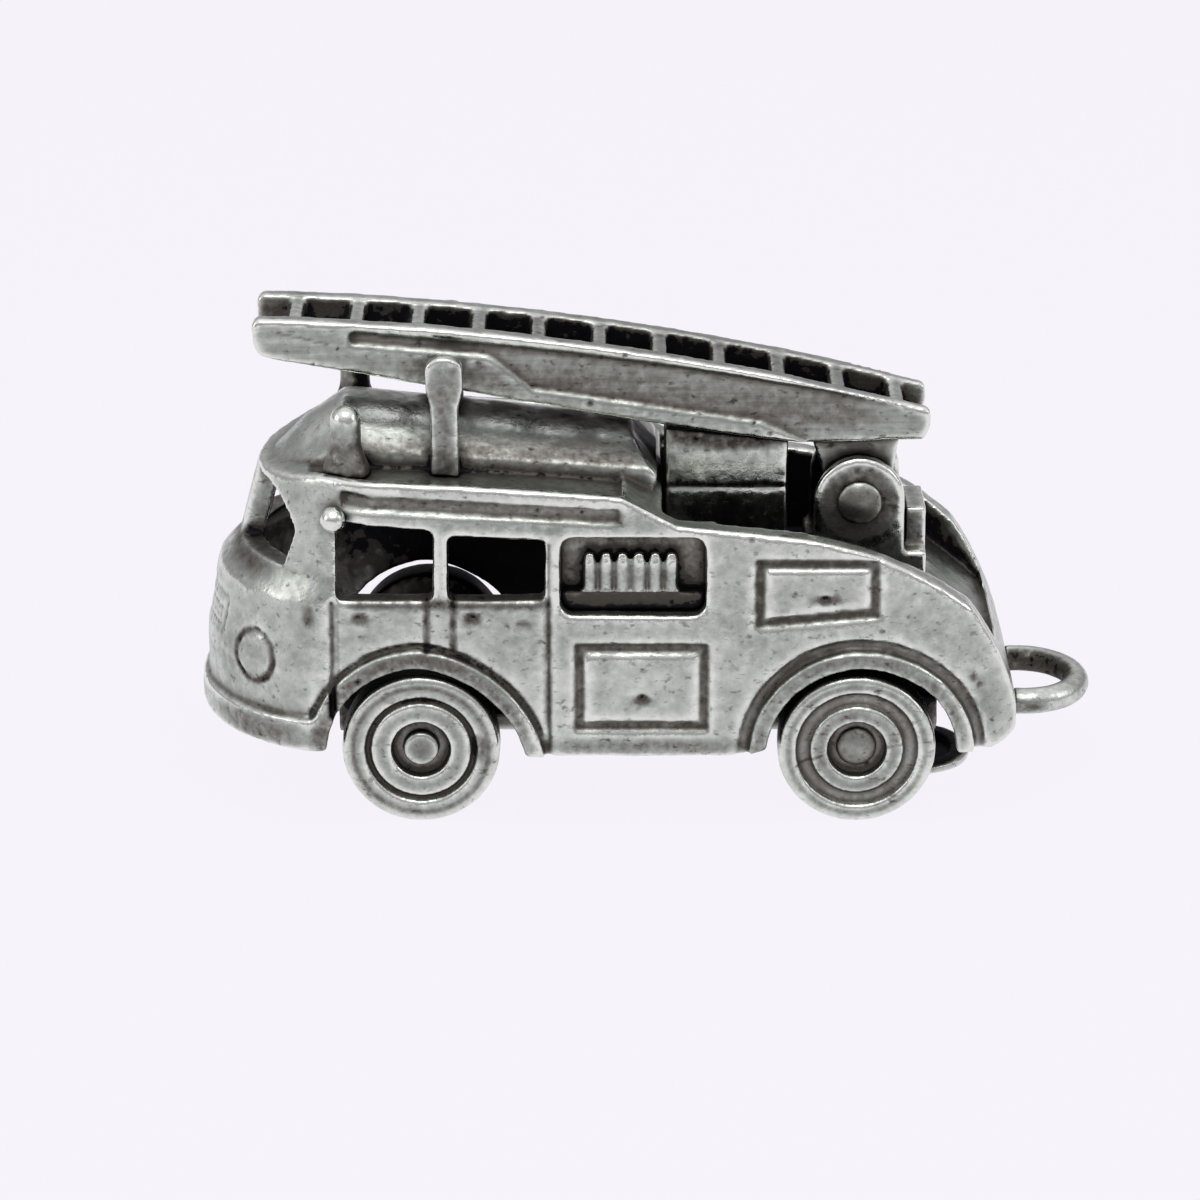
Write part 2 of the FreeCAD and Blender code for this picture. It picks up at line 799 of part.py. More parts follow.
# Plain slotted grille on the nose
grille = new_body("grille")
grille_front = sketch_on(grille, "grille_front", "YZ_Plane", "nose_x - reach / 2")
outline(grille_front, rectangle("-grille_half", "grille_bottom_level", "grille_half", "grille_top_level"))
outline(grille_front, rectangle(
    "-grille_half + seam_width", "grille_bottom_level + seam_width",
    "grille_half - seam_width", "grille_top_level - seam_width"))
pad(grille, grille_front, "reach", both_sides=False)
grille_slots = sketch_on(grille, "grille_slots_front", "YZ_Plane", "nose_x - reach / 2")
slot_pitch = "((grille_top_level - grille_bottom_level) / (grille_slots + 1))"
for number in range(int(value("grille_slots"))):
    middle = f"(grille_bottom_level + {number + 1} * {slot_pitch})"
    outline(grille_slots, rectangle(
        "-grille_half + grille_margin", f"{middle} - grille_slot_width / 2",
        "grille_half - grille_margin", f"{middle} + grille_slot_width / 2"))
pad(grille, grille_slots, "reach", both_sides=False)

# Round line of each head lamp, square to the bow
lamp_line = new_body("lamp_line")
lamp_ring = sketch_on(lamp_line, "lamp_ring", "YZ_Plane")
circle(lamp_ring, "0", "0", "lamp_radius")
circle(lamp_ring, "0", "0", "lamp_radius - lamp_line_width")
pad(lamp_line, lamp_ring, "2 * wall")
lamp_line.Placement = FreeCAD.Placement(Vector(0, 0, 0), FreeCAD.Rotation(Vector(0, 0, 1), 1))
bind(lamp_line, ".Placement.Rotation.Angle", "lamp_turn")
place(lamp_line, x="lamp_x", y="lamp_y", z="lamp_level")
lamp_line_right = mirrored("lamp_line_right", lamp_line)

score_tools = fused("score_tools", [grooves, grille, lamp_line, lamp_line_right])
scored = cut("scored_lines", score_tools, hull_groove_floor)

# Raised roof dome, lofted along the roof and cut off at a slant behind
dome_form = new_body("dome_form")


def dome_section(name, x, half, level, rise):
    """The dome's arched cross-section at one place along the roof."""
    sketch = sketch_on(dome_form, name, "YZ_Plane", x)
    outline(sketch, [
        (f"-{half}", "dome_foot_level"),
        (half, "dome_foot_level"),
        (half, f"{level} - {rise}", rise),
        (f"-{half}", f"{level} - {rise}"),
    ])
    return sketch


loft(dome_form, [
    dome_section("dome_rear", "dome_rear_foot_x", "dome_half", "dome_rear_level", "dome_rear_rise"),
    dome_section("dome_crown", "dome_crown_front_x", "dome_half", "dome_crown_level", "dome_crown_rise"),
    dome_section("dome_brow", "dome_brow_x", "dome_brow_half", "dome_brow_level", "dome_brow_rise"),
    dome_section("dome_front", "dome_front_x", "dome_front_half", "dome_front_level", "dome_front_rise"),
])
dome_slant = sketch_on(dome_form, "dome_slant", SIDE)
outline(dome_slant, [
    ("dome_rear_foot_x - 1", "step_head_level"),
    ("dome_rear_foot_x", "step_head_level"),
    ("dome_rear_top_x", "dome_rear_level"),
    ("dome_rear_top_x", "dome_crown_level + 1"),
    ("dome_rear_foot_x - 1", "dome_crown_level + 1"),
])
pocket(dome_form, dome_slant, BOX)

# Everything that stands out, then everything that is cut away
outer_forms = fused("outer_forms", [hull_outer, front_flare, rear_flare])
hollows = fused("hollows", [hull_cavity, hull_well, hull_gutter])
walls = cut("hollow_walls", outer_forms, hollows)
standing = fused("standing_forms", [walls, locker_box, locker_box_right, dome_form])
openings = fused("openings", [
    front_arch, rear_arch, windows, screen, locker_recess, locker_recess_right, scored])
opened = cut("opened_body", standing, openings)
body_shell = fused("body_shell", [opened, bumper])

# Chassis plate with the axle bearings, hung between the side walls
chassis = new_body("chassis")
chassis_side = sketch_on(chassis, "chassis_side", SIDE)
outline(chassis_side, rectangle(
    "chassis_rear_x", "chassis_bottom_level", "chassis_front_x", "chassis_top_level"))
pad(chassis, chassis_side, "2 * (waist_half - chassis_inset)")
arm_side = sketch_on(chassis, "arm_side", SIDE)
outline(arm_side, rectangle("-arm_half_length", "arm_bottom_level", "arm_half_length", "chassis_top_level"))
pad(chassis, arm_side, "2 * (waist_half - wall)")
boss_side = sketch_on(chassis, "boss_side", SIDE)
circle(boss_side, "front_axle_x", "axle_level", "hub_boss_radius")
circle(boss_side, "rear_axle_x", "axle_level", "hub_boss_radius")
pad(chassis, boss_side, "2 * (waist_half - wheel_width - hub_boss_gap)")
axle_bores = sketch_on(chassis, "axle_bores", SIDE)
circle(axle_bores, "front_axle_x", "axle_level", "axle_radius")
circle(axle_bores, "rear_axle_x", "axle_level", "axle_radius")
pocket(chassis, axle_bores, BOX)

# Flat eye on a bent tongue, fixed to the chassis under the tail
eye_form = new_body("tow_eye_form")
tongue_side = sketch_on(eye_form, "tongue_side", SIDE)
outline(tongue_side, [
    ("eye_x", "eye_top_level - eye_thickness"),
    ("chassis_rear_x", "eye_top_level - eye_thickness"),
    ("chassis_rear_x", "chassis_top_level"),
    ("chassis_rear_x - tongue_thickness", "chassis_top_level"),
    ("chassis_rear_x - tongue_thickness", "eye_top_level"),
    ("eye_x", "eye_top_level"),
])
pad(eye_form, tongue_side, "2 * tongue_half")
eye_plan = sketch_on(eye_form, "eye_plan", "XY_Plane", "eye_top_level - eye_thickness")
circle(eye_plan, "eye_x", "0", "eye_radius")
pad(eye_form, eye_plan, "eye_thickness", both_sides=False)
eye_hole = sketch_on(eye_form, "eye_hole", "XY_Plane", "eye_top_level")
circle(eye_hole, "eye_x", "0", "eye_hole_radius")
pocket(eye_form, eye_hole, "eye_hole_depth", both_sides=False)
tow_eye = cut("tow_eye", eye_form, chassis)


def axle(name, x, head_radius, domed):
    """A rod with riveted heads, turned about its own axis."""
    body = new_body(name)
    sketch = sketch_on(body, name + "_half", "XY_Plane")
    inner = "(waist_half - hub_recess_depth + head_gap)"
    outer = f"({inner} + axle_head_height)"
    rim = f"({inner} + head_rim_height)"
    dome = cap_rise(head_radius, "axle_head_height - head_rim_height")
    outline(sketch, [
        ("0", f"-{outer}", dome) if domed else ("0", f"-{outer}"),
        (head_radius, f"-{rim}") if domed else (head_radius, f"-{outer}"),
        (head_radius, f"-{inner}"),
        ("axle_radius", f"-{inner}"),
        ("axle_radius", inner),
        (head_radius, inner),
        (head_radius, rim, dome) if domed else (head_radius, outer),
        ("0", outer),
    ])
    revolve(body, sketch, "V_Axis")
    place(body, x=x, z="axle_level")
    return body


front_axle = axle("front_axle", "front_axle_x", "axle_head_radius", False)
rear_axle = axle("rear_axle", "rear_axle_x", "rear_head_radius", True)


def wheel(name, x, side, ring):
    """A wheel turned about its axle: tread, ring groove and hub recess on the outer face."""
    body = new_body(name)
    sketch = sketch_on(body, name + "_half", "XY_Plane")
    face = f"({side} * waist_half)"
    inner = f"({side} * (waist_half - wheel_width))"
    bore = "axle_radius + running_clearance"
    turn = f"{side} * tread_round"
    groove = f"{face} - {side} * ring_groove_depth"
    recess = f"{face} - {side} * hub_recess_depth"
    bulge = f"{side} * tread_round * {QUARTER}"
    outline(sketch, [
        (bore, inner),
        ("wheel_radius - tread_round", inner, bulge),
        ("wheel_radius", f"{inner} + {turn}"),
        ("wheel_radius", f"{face} - {turn}", bulge),
        ("wheel_radius - tread_round", face),
        (f"{ring}_ring_outer_radius", face),
        (f"{ring}_ring_outer_radius", groove),
        (f"{ring}_ring_inner_radius", groove),
        (f"{ring}_ring_inner_radius", face),
        ("hub_recess_radius", face),
        ("hub_recess_radius", recess),
        (bore, recess),
    ])
    revolve(body, sketch, "V_Axis")
    place(body, x=x, z="axle_level")
    return body


wheels = [
    wheel("wheel_front_left", "front_axle_x", "1", "front"),
    wheel("wheel_front_right", "front_axle_x", "-1", "front"),
    wheel("wheel_rear_left", "rear_axle_x", "1", "rear"),
    wheel("wheel_rear_right", "rear_axle_x", "-1", "rear"),
]

# Hose box on the rear deck
hose_box = new_body("hose_box")
hose_box_side = sketch_on(hose_box, "hose_box_side", SIDE)
outline(hose_box_side, [
    ("box_rear_x", "deck_level"),
    ("box_front_x", "deck_level"),
    ("box_front_x", "box_front_top_level"),
    ("box_rear_x", "box_rear_top_level"),
])
pad(hose_box, hose_box_side, "2 * box_half")
for seam_side in ("", "-"):
    seam_name = "box_seam_left" if seam_side else "box_seam_right"
    box_seam = sketch_on(hose_box, seam_name, SIDE, f"{seam_side}(box_half - box_seam_width)")
    outline(box_seam, rectangle(
        "box_rear_x - reach", "box_seam_level", "box_front_x + reach", "box_seam_level + box_seam_width"))
    pocket(hose_box, box_seam, "reach", both_sides=False, backwards=not seam_side)

# Bracket that holds the ladder's pin
bracket = new_body("ladder_bracket")
bracket_side = sketch_on(bracket, "bracket_side", SIDE)
outline(bracket_side, rectangle("post_rear_x", "deck_level", "bracket_front_x", "bracket_base_level"))
pad(bracket, bracket_side, "2 * ear_outer")
ear_side = sketch_on(bracket, "ear_side", SIDE)
outline(ear_side, [
    ("pin_x - ear_radius", "deck_level"),
    ("pin_x + ear_radius", "deck_level"),
] + half_round("pin_x", "pin_level", "ear_radius"))
pad(bracket, ear_side, "2 * ear_outer")
stop_side = sketch_on(bracket, "stop_side", SIDE)
outline(stop_side, rectangle("post_rear_x", "deck_level", "post_front_x", "post_top_level"))
pad(bracket, stop_side, "2 * post_half")
ear_gap = sketch_on(bracket, "ear_gap", SIDE)
outline(ear_gap, rectangle("post_front_x", "bracket_base_level", "pin_x + reach", "pin_level + reach"))
pocket(bracket, ear_gap, "2 * ear_inner")
pin_bore = sketch_on(bracket, "pin_bore", SIDE)
circle(pin_bore, "pin_x", "pin_level", "pin_radius")
pocket(bracket, pin_bore, BOX)

ladder_pin = new_body("ladder_pin")
pin_half = sketch_on(ladder_pin, "pin_half", "XY_Plane")
outline(pin_half, [
    ("0", "-(ear_outer + pin_head_height)", cap_rise("pin_head_radius", "pin_head_height - pin_rim_height")),
    ("pin_head_radius", "-(ear_outer + pin_rim_height)"),
    ("pin_head_radius", "-ear_outer"),
    ("pin_radius", "-ear_outer"),
    ("pin_radius", "ear_outer"),
    ("pin_head_radius", "ear_outer"),
    ("pin_head_radius", "ear_outer + pin_rim_height", cap_rise("pin_head_radius", "pin_head_height - pin_rim_height")),
    ("0", "ear_outer + pin_head_height"),
])
revolve(ladder_pin, pin_half, "V_Axis")
place(ladder_pin, x="pin_x", z="pin_level")

# Ladder in one casting: two rails, eleven rungs and the lug that takes the pin
ladder = new_body("ladder")
ladder_side = sketch_on(ladder, "ladder_side", SIDE)
outline(ladder_side, [
    ("ladder_rear", "rail_rear_bottom"),
    ("rail_low_rear_x", "rail_low", "rail_low_bow"),
    ("rail_low_front_x", "rail_low"),
    ("ladder_front - 3 * tip_bow", "rail_front_bottom", "tip_bow"),
    ("ladder_front", "rail_front_top - tip_height", "tip_bow"),
    ("ladder_front - tip_bow", "rail_front_top", "rail_top_bow"),
    ("ladder_rear", "rail_rear_top", "tip_bow"),
])
pad(ladder, ladder_side, "2 * rail_outer")
under_rungs = sketch_on(ladder, "under_rungs", SIDE)
outline(under_rungs, rectangle("foot_front", "0", "ladder_front + reach", "rung_bottom"))
pocket(ladder, under_rungs, "2 * rail_inner")
over_rungs = sketch_on(ladder, "over_rungs", SIDE)
outline(over_rungs, [
    ("ladder_front - tip_bow", "rail_front_top - rung_drop", "rail_top_bow"),
    ("ladder_rear", "rail_rear_top - rung_drop"),
    ("ladder_rear", "rail_rear_top + reach"),
    ("ladder_front - tip_bow", "rail_front_top + reach"),
])
pocket(ladder, over_rungs, "2 * rail_inner")
rung_gap = sketch_on(ladder, "rung_gap", "XY_Plane", "rung_floor")
outline(rung_gap, rectangle(
    "rung_first + rung_length / 2", "-rail_inner",
    "rung_first + rung_pitch - rung_length / 2", "rail_inner"))
rung_gap_pocket = pocket(ladder, rung_gap, "reach", both_sides=False, backwards=True)
rung_gaps = ladder.newObject("PartDesign::LinearPattern", "rung_gaps")
rung_gaps.Originals = [rung_gap_pocket]
rung_gaps.Direction = (rung_gap, ["H_Axis"])
rung_gaps.Mode = "Spacing"
bind(rung_gaps, "Offset", "rung_pitch")
bind(rung_gaps, "Occurrences", "rung_count - 1")
ladder.Tip = rung_gaps
end_gaps = sketch_on(ladder, "end_gaps", "XY_Plane", "rung_floor")
outline(end_gaps, rectangle(
    "ladder_rear - reach", "-rail_inner", "rung_first - rung_length / 2", "rail_inner"))
outline(end_gaps, rectangle(
    "rung_first + (rung_count - 1) * rung_pitch + rung_length / 2", "-rail_inner",
    "ladder_front + reach", "rail_inner"))
end_gaps_pocket = pocket(ladder, end_gaps, "reach", both_sides=False, backwards=True)
lug_side = sketch_on(ladder, "lug_side", SIDE)
outline(lug_side, [
    ("lug_rear", "0", f"-lug_rear * {QUARTER}"),
    ("0", "lug_rear", f"-lug_rear * {QUARTER}"),
    ("-lug_rear", "0"),
    ("lug_front", "foot_bottom"),
    ("lug_front", "rung_floor"),
    ("lug_rear", "rung_floor"),
])
pad(ladder, lug_side, "2 * lug_half")
lug_bore = sketch_on(ladder, "lug_bore", SIDE)
circle(lug_bore, "0", "0", "pin_radius + running_clearance")
pocket(ladder, lug_bore, BOX)
for channel_side in ("", "-"):
    channel_name = "channel_left" if channel_side else "channel_right"
    channel = sketch_on(ladder, channel_name, SIDE, f"{channel_side}(rail_outer - channel_depth)")
    outline(channel, [
        ("ladder_rear - reach", "rail_low - lug_half"),
        ("strip_end_x", "rail_low - lug_half"),
        ("strip_end_x", "rail_low"),
        ("strip_rear_x", "strip_rear_level"),
        ("strip_foot_x", "strip_foot_level"),
        ("strip_head_x", "strip_head_level"),
        ("block_x", "strip_front_level"),
        ("block_x", "channel_front_top", "channel_top_bow"),
        ("ladder_rear - reach", "channel_rear_top"),
    ])
    pocket(ladder, channel, "reach", both_sides=False, backwards=not channel_side)
ladder.Placement = FreeCAD.Placement(Vector(0, 0, 0), FreeCAD.Rotation(Vector(0, 1, 0), 1))
bind(ladder, ".Placement.Rotation.Angle", "-ladder_slope")
place(ladder, x="pin_x", z="pin_level")

# Forked rest that stands on the roof and carries the ladder
rest_raw = new_body("rest_form")
rest_side = sketch_on(rest_raw, "rest_side", SIDE)
outline(rest_side, [
    ("rest_x - rest_length / 2", "dome_foot_level"),
    ("rest_x + rest_length / 2", "dome_foot_level"),
    ("rest_x + rest_length / 2", "rest_bar_top_level"),
    ("rest_x + rest_head_length / 2", "rest_bar_top_level + 0.5"),
    ("rest_x + rest_head_length / 2", "rest_top_level - 0.3", "0.3"),
    ("rest_x - rest_head_length / 2", "rest_top_level - 0.3"),
    ("rest_x - rest_head_length / 2", "rest_bar_top_level + 0.5"),
    ("rest_x - rest_length / 2", "rest_bar_top_level"),
])
pad(rest_raw, rest_side, "2 * (waist_half - rest_inset)")
rest_gap = sketch_on(rest_raw, "rest_gap", "YZ_Plane")
prong_inner = "(waist_half - rest_inset - prong_width)"
outline(rest_gap, rectangle(f"-{prong_inner}", "rest_bar_top_level", prong_inner, "rest_top_level + reach"))
outline(rest_gap, rectangle(f"-{prong_inner}", "0", prong_inner, "rest_bar_top_level - rest_bar_height"))
pocket(rest_raw, rest_gap, BOX)
ladder_rest = cut("ladder_rest", rest_raw, body_shell)


def roof_post(name):
    """A stub post with a spread foot and a rounded top, cut to sit on the roof."""
    body = new_body(name + "_form")
    sketch = sketch_on(body, name + "_half", SIDE)
    outline(sketch, [
        ("0", "dome_foot_level"),
        ("post_foot_radius", "dome_foot_level"),
        ("post_foot_radius", "roof_front_level"),
        ("post_radius", "roof_front_level + 0.7"),
        ("post_radius", "post_height_level - post_radius", f"post_radius * {QUARTER}"),
        ("0", "post_height_level"),
    ])
    revolve(body, sketch, "V_Axis")
    place(body, x="post_x", y="waist_half - post_inset")
    return body


def corner_ball(name):
    body = new_body(name + "_form")
    sketch = sketch_on(body, name + "_half", SIDE)
    outline(sketch, [
        ("0", "-ball_radius", f"ball_radius * {QUARTER}"),
        ("ball_radius", "0", f"ball_radius * {QUARTER}"),
        ("0", "ball_radius"),
    ])
    revolve(body, sketch, "V_Axis")
    place(body, x="ball_x", y="waist_half - ball_inset", z="ball_level")
    return body


def bottles(name):
    """A row of bottles on a ledge at the back of the locker."""
    body = new_body(name)
    ledge = sketch_on(body, name + "_ledge", SIDE, "-(waist_half - locker_depth)")
    bulge = f"locker_round * {QUARTER}"
    outline(ledge, [
        ("locker_rear_x + locker_round", "locker_floor_level"),
        ("locker_front_x - locker_round", "locker_floor_level", bulge),
        ("locker_front_x", "locker_floor_level + locker_round"),
        ("locker_front_x", "locker_floor_level + bottle_ledge_height"),
        ("locker_rear_x", "locker_floor_level + bottle_ledge_height"),
        ("locker_rear_x", "locker_floor_level + locker_round", bulge),
    ])
    pad(body, ledge, "bottle_ledge_depth", both_sides=False, backwards=True)
    return body


post_form = roof_post("roof_post")
post_left = cut("roof_post_left", post_form, body_shell)
ball_form = corner_ball("corner_ball")
ball_left = cut("corner_ball_left", ball_form, body_shell)
bottle_ledge = bottles("bottle_ledge")
bottle_list = [bottle_ledge]
for number in range(int(value("bottle_count"))):
    bottle = new_body(f"bottle_{number + 1}")
    bottle_half = sketch_on(bottle, f"bottle_half_{number + 1}", SIDE)
    outline(bottle_half, [
        ("0", "0"),
        ("bottle_radius", "0"),
        ("bottle_radius", "bottle_height * 0.6"),
        ("bottle_radius * 0.5", "bottle_height * 0.75"),
        ("bottle_radius * 0.5", "bottle_height"),
        ("0", "bottle_height"),
    ])
    revolve(bottle, bottle_half, "V_Axis")
    place(bottle, x=f"bottle_first_x - {number} * bottle_pitch",
          y="waist_half - locker_depth + bottle_ledge_depth / 2",
          z="locker_floor_level + bottle_ledge_height")
    bottle_list.append(bottle)
bottles_left = fused("locker_bottles_left", bottle_list)

# Hanging ring, its front half soldered into the tail
ring_form = new_body("ring_form")
ring_section = sketch_on(ring_form, "ring_section", SIDE)
circle(ring_section, "ring_radius", "0", "ring_wire_radius")
revolve(ring_form, ring_section, "V_Axis")
place(ring_form, x="ring_x", z="ring_level")
charm_ring = cut("charm_ring", ring_form, body_shell)

KEPT = {
    "body_shell": body_shell,
    "chassis": chassis,
    "front_axle": front_axle,
    "rear_axle": rear_axle,
    "hose_box": hose_box,
    "ladder_bracket": bracket,
    "ladder_pin": ladder_pin,
    "ladder": ladder,
    "ladder_rest": ladder_rest,
    "roof_post_left": post_left,
    "roof_post_right": mirrored("roof_post_right", post_left),
    "corner_ball_left": ball_left,
    "corner_ball_right": mirrored("corner_ball_right", ball_left),
    "locker_bottles_left": bottles_left,
    "locker_bottles_right": mirrored("locker_bottles_right", bottles_left),
    "charm_ring": charm_ring,
    "tow_eye": tow_eye,
}
for item in wheels:
    KEPT[item.Name] = item
for node, item in KEPT.items():
    item.Label = node

doc.recompute()

# Every object has to be sound before anything is written
for item in doc.Objects:
    if "Invalid" in item.State or "Error" in item.State:
        raise RuntimeError(f"{item.Name} failed: {item.State}")
for node, item in KEPT.items():
    if item.Shape.isNull() or not item.Shape.isValid():
        raise RuntimeError(f"{node} has no sound shape")

os.makedirs("parts", exist_ok=True)
for node, item in KEPT.items():
    item.Shape.exportStep(f"parts/{node}.step")
    print(node, len(item.Shape.Solids), round(item.Shape.Volume, 2), item.Shape.BoundBox)
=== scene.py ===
import json
import math

import bmesh
import bpy
import numpy as np
from bpy.props import FloatProperty, FloatVectorProperty, IntProperty, PointerProperty
from mathutils import Matrix, Vector


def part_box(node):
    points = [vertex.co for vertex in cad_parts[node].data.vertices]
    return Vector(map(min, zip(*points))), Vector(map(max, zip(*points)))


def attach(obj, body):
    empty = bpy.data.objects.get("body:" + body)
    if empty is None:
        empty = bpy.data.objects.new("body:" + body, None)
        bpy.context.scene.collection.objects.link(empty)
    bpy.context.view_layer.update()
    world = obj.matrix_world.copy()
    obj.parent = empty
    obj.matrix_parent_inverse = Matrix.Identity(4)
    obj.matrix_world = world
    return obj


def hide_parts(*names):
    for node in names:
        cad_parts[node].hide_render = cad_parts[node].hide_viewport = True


bl_info = {
    "name": "Cast silver fire engine charm",
    "version": (1, 0, 0),
    "blender": (4, 5, 0),
    "location": "3D View > Sidebar > Charm",
    "description": "Finishes the charm's silver castings and sets its studio stage",
    "category": "Object",
}

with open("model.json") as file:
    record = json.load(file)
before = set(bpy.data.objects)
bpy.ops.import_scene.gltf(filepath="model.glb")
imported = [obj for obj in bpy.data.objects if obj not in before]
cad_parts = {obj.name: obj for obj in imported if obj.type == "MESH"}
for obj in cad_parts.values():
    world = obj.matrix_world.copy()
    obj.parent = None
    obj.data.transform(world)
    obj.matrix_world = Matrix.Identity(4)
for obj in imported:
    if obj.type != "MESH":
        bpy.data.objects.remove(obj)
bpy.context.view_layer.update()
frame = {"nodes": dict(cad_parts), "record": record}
MM = 0.001
MOST_TRIANGLES = 190000
NODE_BODY = {
    node: body for body, nodes in frame["record"]["behaviour"]["bodies"].items() for node in nodes}


# Small tools for node trees

def colour(text):
    """An sRGB hex colour as linear values."""
    parts = [int(text[i:i + 2], 16) / 255 for i in (1, 3, 5)]
    linear = [p / 12.92 if p <= 0.04045 else ((p + 0.055) / 1.055) ** 2.4 for p in parts]
    return (*linear, 1.0)


def add(tree, kind, inputs=None, **settings):
    """Add a node, set its settings, and set or link its inputs."""
    node = tree.nodes.new(kind)
    for key, setting in settings.items():
        setattr(node, key, setting)
    for key, entry in (inputs or {}).items():
        if isinstance(entry, bpy.types.NodeSocket):
            tree.links.new(entry, node.inputs[key])
        else:
            node.inputs[key].default_value = entry
    return node


def per_mm(size):
    """Texture scale, in metre coordinates, for a feature of this many millimetres."""
    return 1 / (size * MM)


# The casting skin: softened edges, hand-made wobble, pits, and the marks that tarnish and painted
# shade follow

CORNER_LEAN = 0.004 * MM  # a point this far off its neighbours counts as a full edge or groove
GROOVE_SHARE = 0.1        # how much of the softening reaches a groove's floor
PIT_RADIUS = (0.05, 0.18)  # smallest and largest pit, as shares of the pits' spacing
BARE_SHARE = 0.55         # share of the places for a pit that have none
WEAR_STAND = 0.03 * MM    # an edge that stands out this far is rubbed fully bright
RAY_LIFT = 0.13 * MM      # rays start this far off the skin, clear of the CAD surface below it


def casting_skin():
    """A node tree that turns a sharp remeshed form into the surface of a small casting."""
    tree = bpy.data.node_groups.new("casting_skin", "GeometryNodeTree")
    socket = tree.interface.new_socket
    socket(name="Geometry", in_out="INPUT", socket_type="NodeSocketGeometry")
    socket(name="Edge Passes", in_out="INPUT", socket_type="NodeSocketInt")
    socket(name="Wear Passes", in_out="INPUT", socket_type="NodeSocketInt")
    socket(name="Wobble Depth", in_out="INPUT", socket_type="NodeSocketFloat")
    socket(name="Wobble Size", in_out="INPUT", socket_type="NodeSocketFloat")
    socket(name="Grain Depth", in_out="INPUT", socket_type="NodeSocketFloat")
    socket(name="Grain Size", in_out="INPUT", socket_type="NodeSocketFloat")
    socket(name="Pit Depth", in_out="INPUT", socket_type="NodeSocketFloat")
    socket(name="Pit Spacing", in_out="INPUT", socket_type="NodeSocketFloat")
    socket(name="Near Reach", in_out="INPUT", socket_type="NodeSocketFloat")
    socket(name="Far Reach", in_out="INPUT", socket_type="NodeSocketFloat")
    socket(name="Rays", in_out="INPUT", socket_type="NodeSocketInt")
    socket(name="Seed", in_out="INPUT", socket_type="NodeSocketInt")
    socket(name="Surroundings", in_out="INPUT", socket_type="NodeSocketObject")
    socket(name="Finish", in_out="INPUT", socket_type="NodeSocketMaterial")
    socket(name="Geometry", in_out="OUTPUT", socket_type="NodeSocketGeometry")
    given = tree.nodes.new("NodeGroupInput").outputs
    position = tree.nodes.new("GeometryNodeInputPosition").outputs[0]
    normal = tree.nodes.new("GeometryNodeInputNormal").outputs["Normal"]

    def sums(operation, *values):
        return add(tree, "ShaderNodeMath", dict(enumerate(values)), operation=operation).outputs[0]

    def vector_sums(operation, *values):
        return add(tree, "ShaderNodeVectorMath", dict(enumerate(values)), operation=operation)

    # Softened edges; a groove's floor hardly moves, so that thin seams stay open
    close = add(tree, "GeometryNodeBlurAttribute", {
        "Value": position, "Iterations": 3}, data_type="FLOAT_VECTOR")
    lean = vector_sums("SUBTRACT", position, close.outputs[0])
    bulge = vector_sums("DOT_PRODUCT", lean.outputs[0], normal)
    convex = add(tree, "ShaderNodeMapRange", {
        "Value": bulge.outputs["Value"], "From Min": -CORNER_LEAN, "From Max": CORNER_LEAN,
        "To Min": GROOVE_SHARE, "To Max": 1.0})
    soft = add(tree, "GeometryNodeBlurAttribute", {
        "Value": position, "Iterations": given["Edge Passes"], "Weight": convex.outputs[0]},
        data_type="FLOAT_VECTOR")
    softened = add(tree, "GeometryNodeSetPosition", {
        "Geometry": given["Geometry"], "Position": soft.outputs[0]})

    # Slow wobble of a hand-cut pattern, less small pits
    wobble = add(tree, "ShaderNodeTexNoise", {
        "Vector": position, "Scale": sums("DIVIDE", 1.0, given["Wobble Size"]), "Detail": 2.0})
    swing = sums("MULTIPLY", sums("SUBTRACT", wobble.outputs[0], 0.5), 2.0)
    pits = add(tree, "ShaderNodeTexVoronoi", {
        "Vector": position, "Scale": sums("DIVIDE", 1.0, given["Pit Spacing"])})
    chosen = add(tree, "FunctionNodeSeparateColor", {"Color": pits.outputs["Color"]})
    smallest, largest = PIT_RADIUS
    radius = sums("MULTIPLY_ADD", chosen.outputs[0], largest - smallest, smallest)
    pit_bowl = add(tree, "ShaderNodeMapRange", {
        "Value": pits.outputs["Distance"], "From Min": 0.0, "From Max": radius,
        "To Min": 1.0, "To Max": 0.0}, interpolation_type="SMOOTHSTEP")
    pit = sums("MULTIPLY", pit_bowl.outputs[0], sums("GREATER_THAN", chosen.outputs[1], BARE_SHARE))
    grain = add(tree, "ShaderNodeTexNoise", {
        "Vector": position, "Scale": sums("DIVIDE", 1.0, given["Grain Size"]), "Detail": 1.5})
    rise = sums("MULTIPLY", sums("SUBTRACT", grain.outputs[0], 0.5), given["Grain Depth"])
    push = sums("MULTIPLY_ADD", swing, given["Wobble Depth"], rise)
    push = sums("SUBTRACT", push, sums("MULTIPLY", pit, given["Pit Depth"]))
    offset = add(tree, "ShaderNodeVectorMath", {0: normal, "Scale": push}, operation="SCALE")
    pit_marked = add(tree, "GeometryNodeStoreNamedAttribute", {
        "Geometry": softened.outputs[0], "Name": "pit", "Value": pit},
        data_type="FLOAT", domain="POINT")
    shaped = add(tree, "GeometryNodeSetPosition", {
        "Geometry": pit_marked.outputs[0], "Offset": offset.outputs[0]})

    # Wear: how far a point stands out from its blurred neighbourhood
    level = add(tree, "GeometryNodeBlurAttribute", {
        "Value": position, "Iterations": given["Wear Passes"]}, data_type="FLOAT_VECTOR")
    proud = vector_sums("SUBTRACT", position, level.outputs[0])
    stand = vector_sums("DOT_PRODUCT", proud.outputs[0], normal)
    wear = sums("DIVIDE", stand.outputs["Value"], WEAR_STAND)
    worn = add(tree, "GeometryNodeStoreNamedAttribute", {
        "Geometry": shaped.outputs[0], "Name": "wear", "Value": wear},
        data_type="FLOAT", domain="POINT")
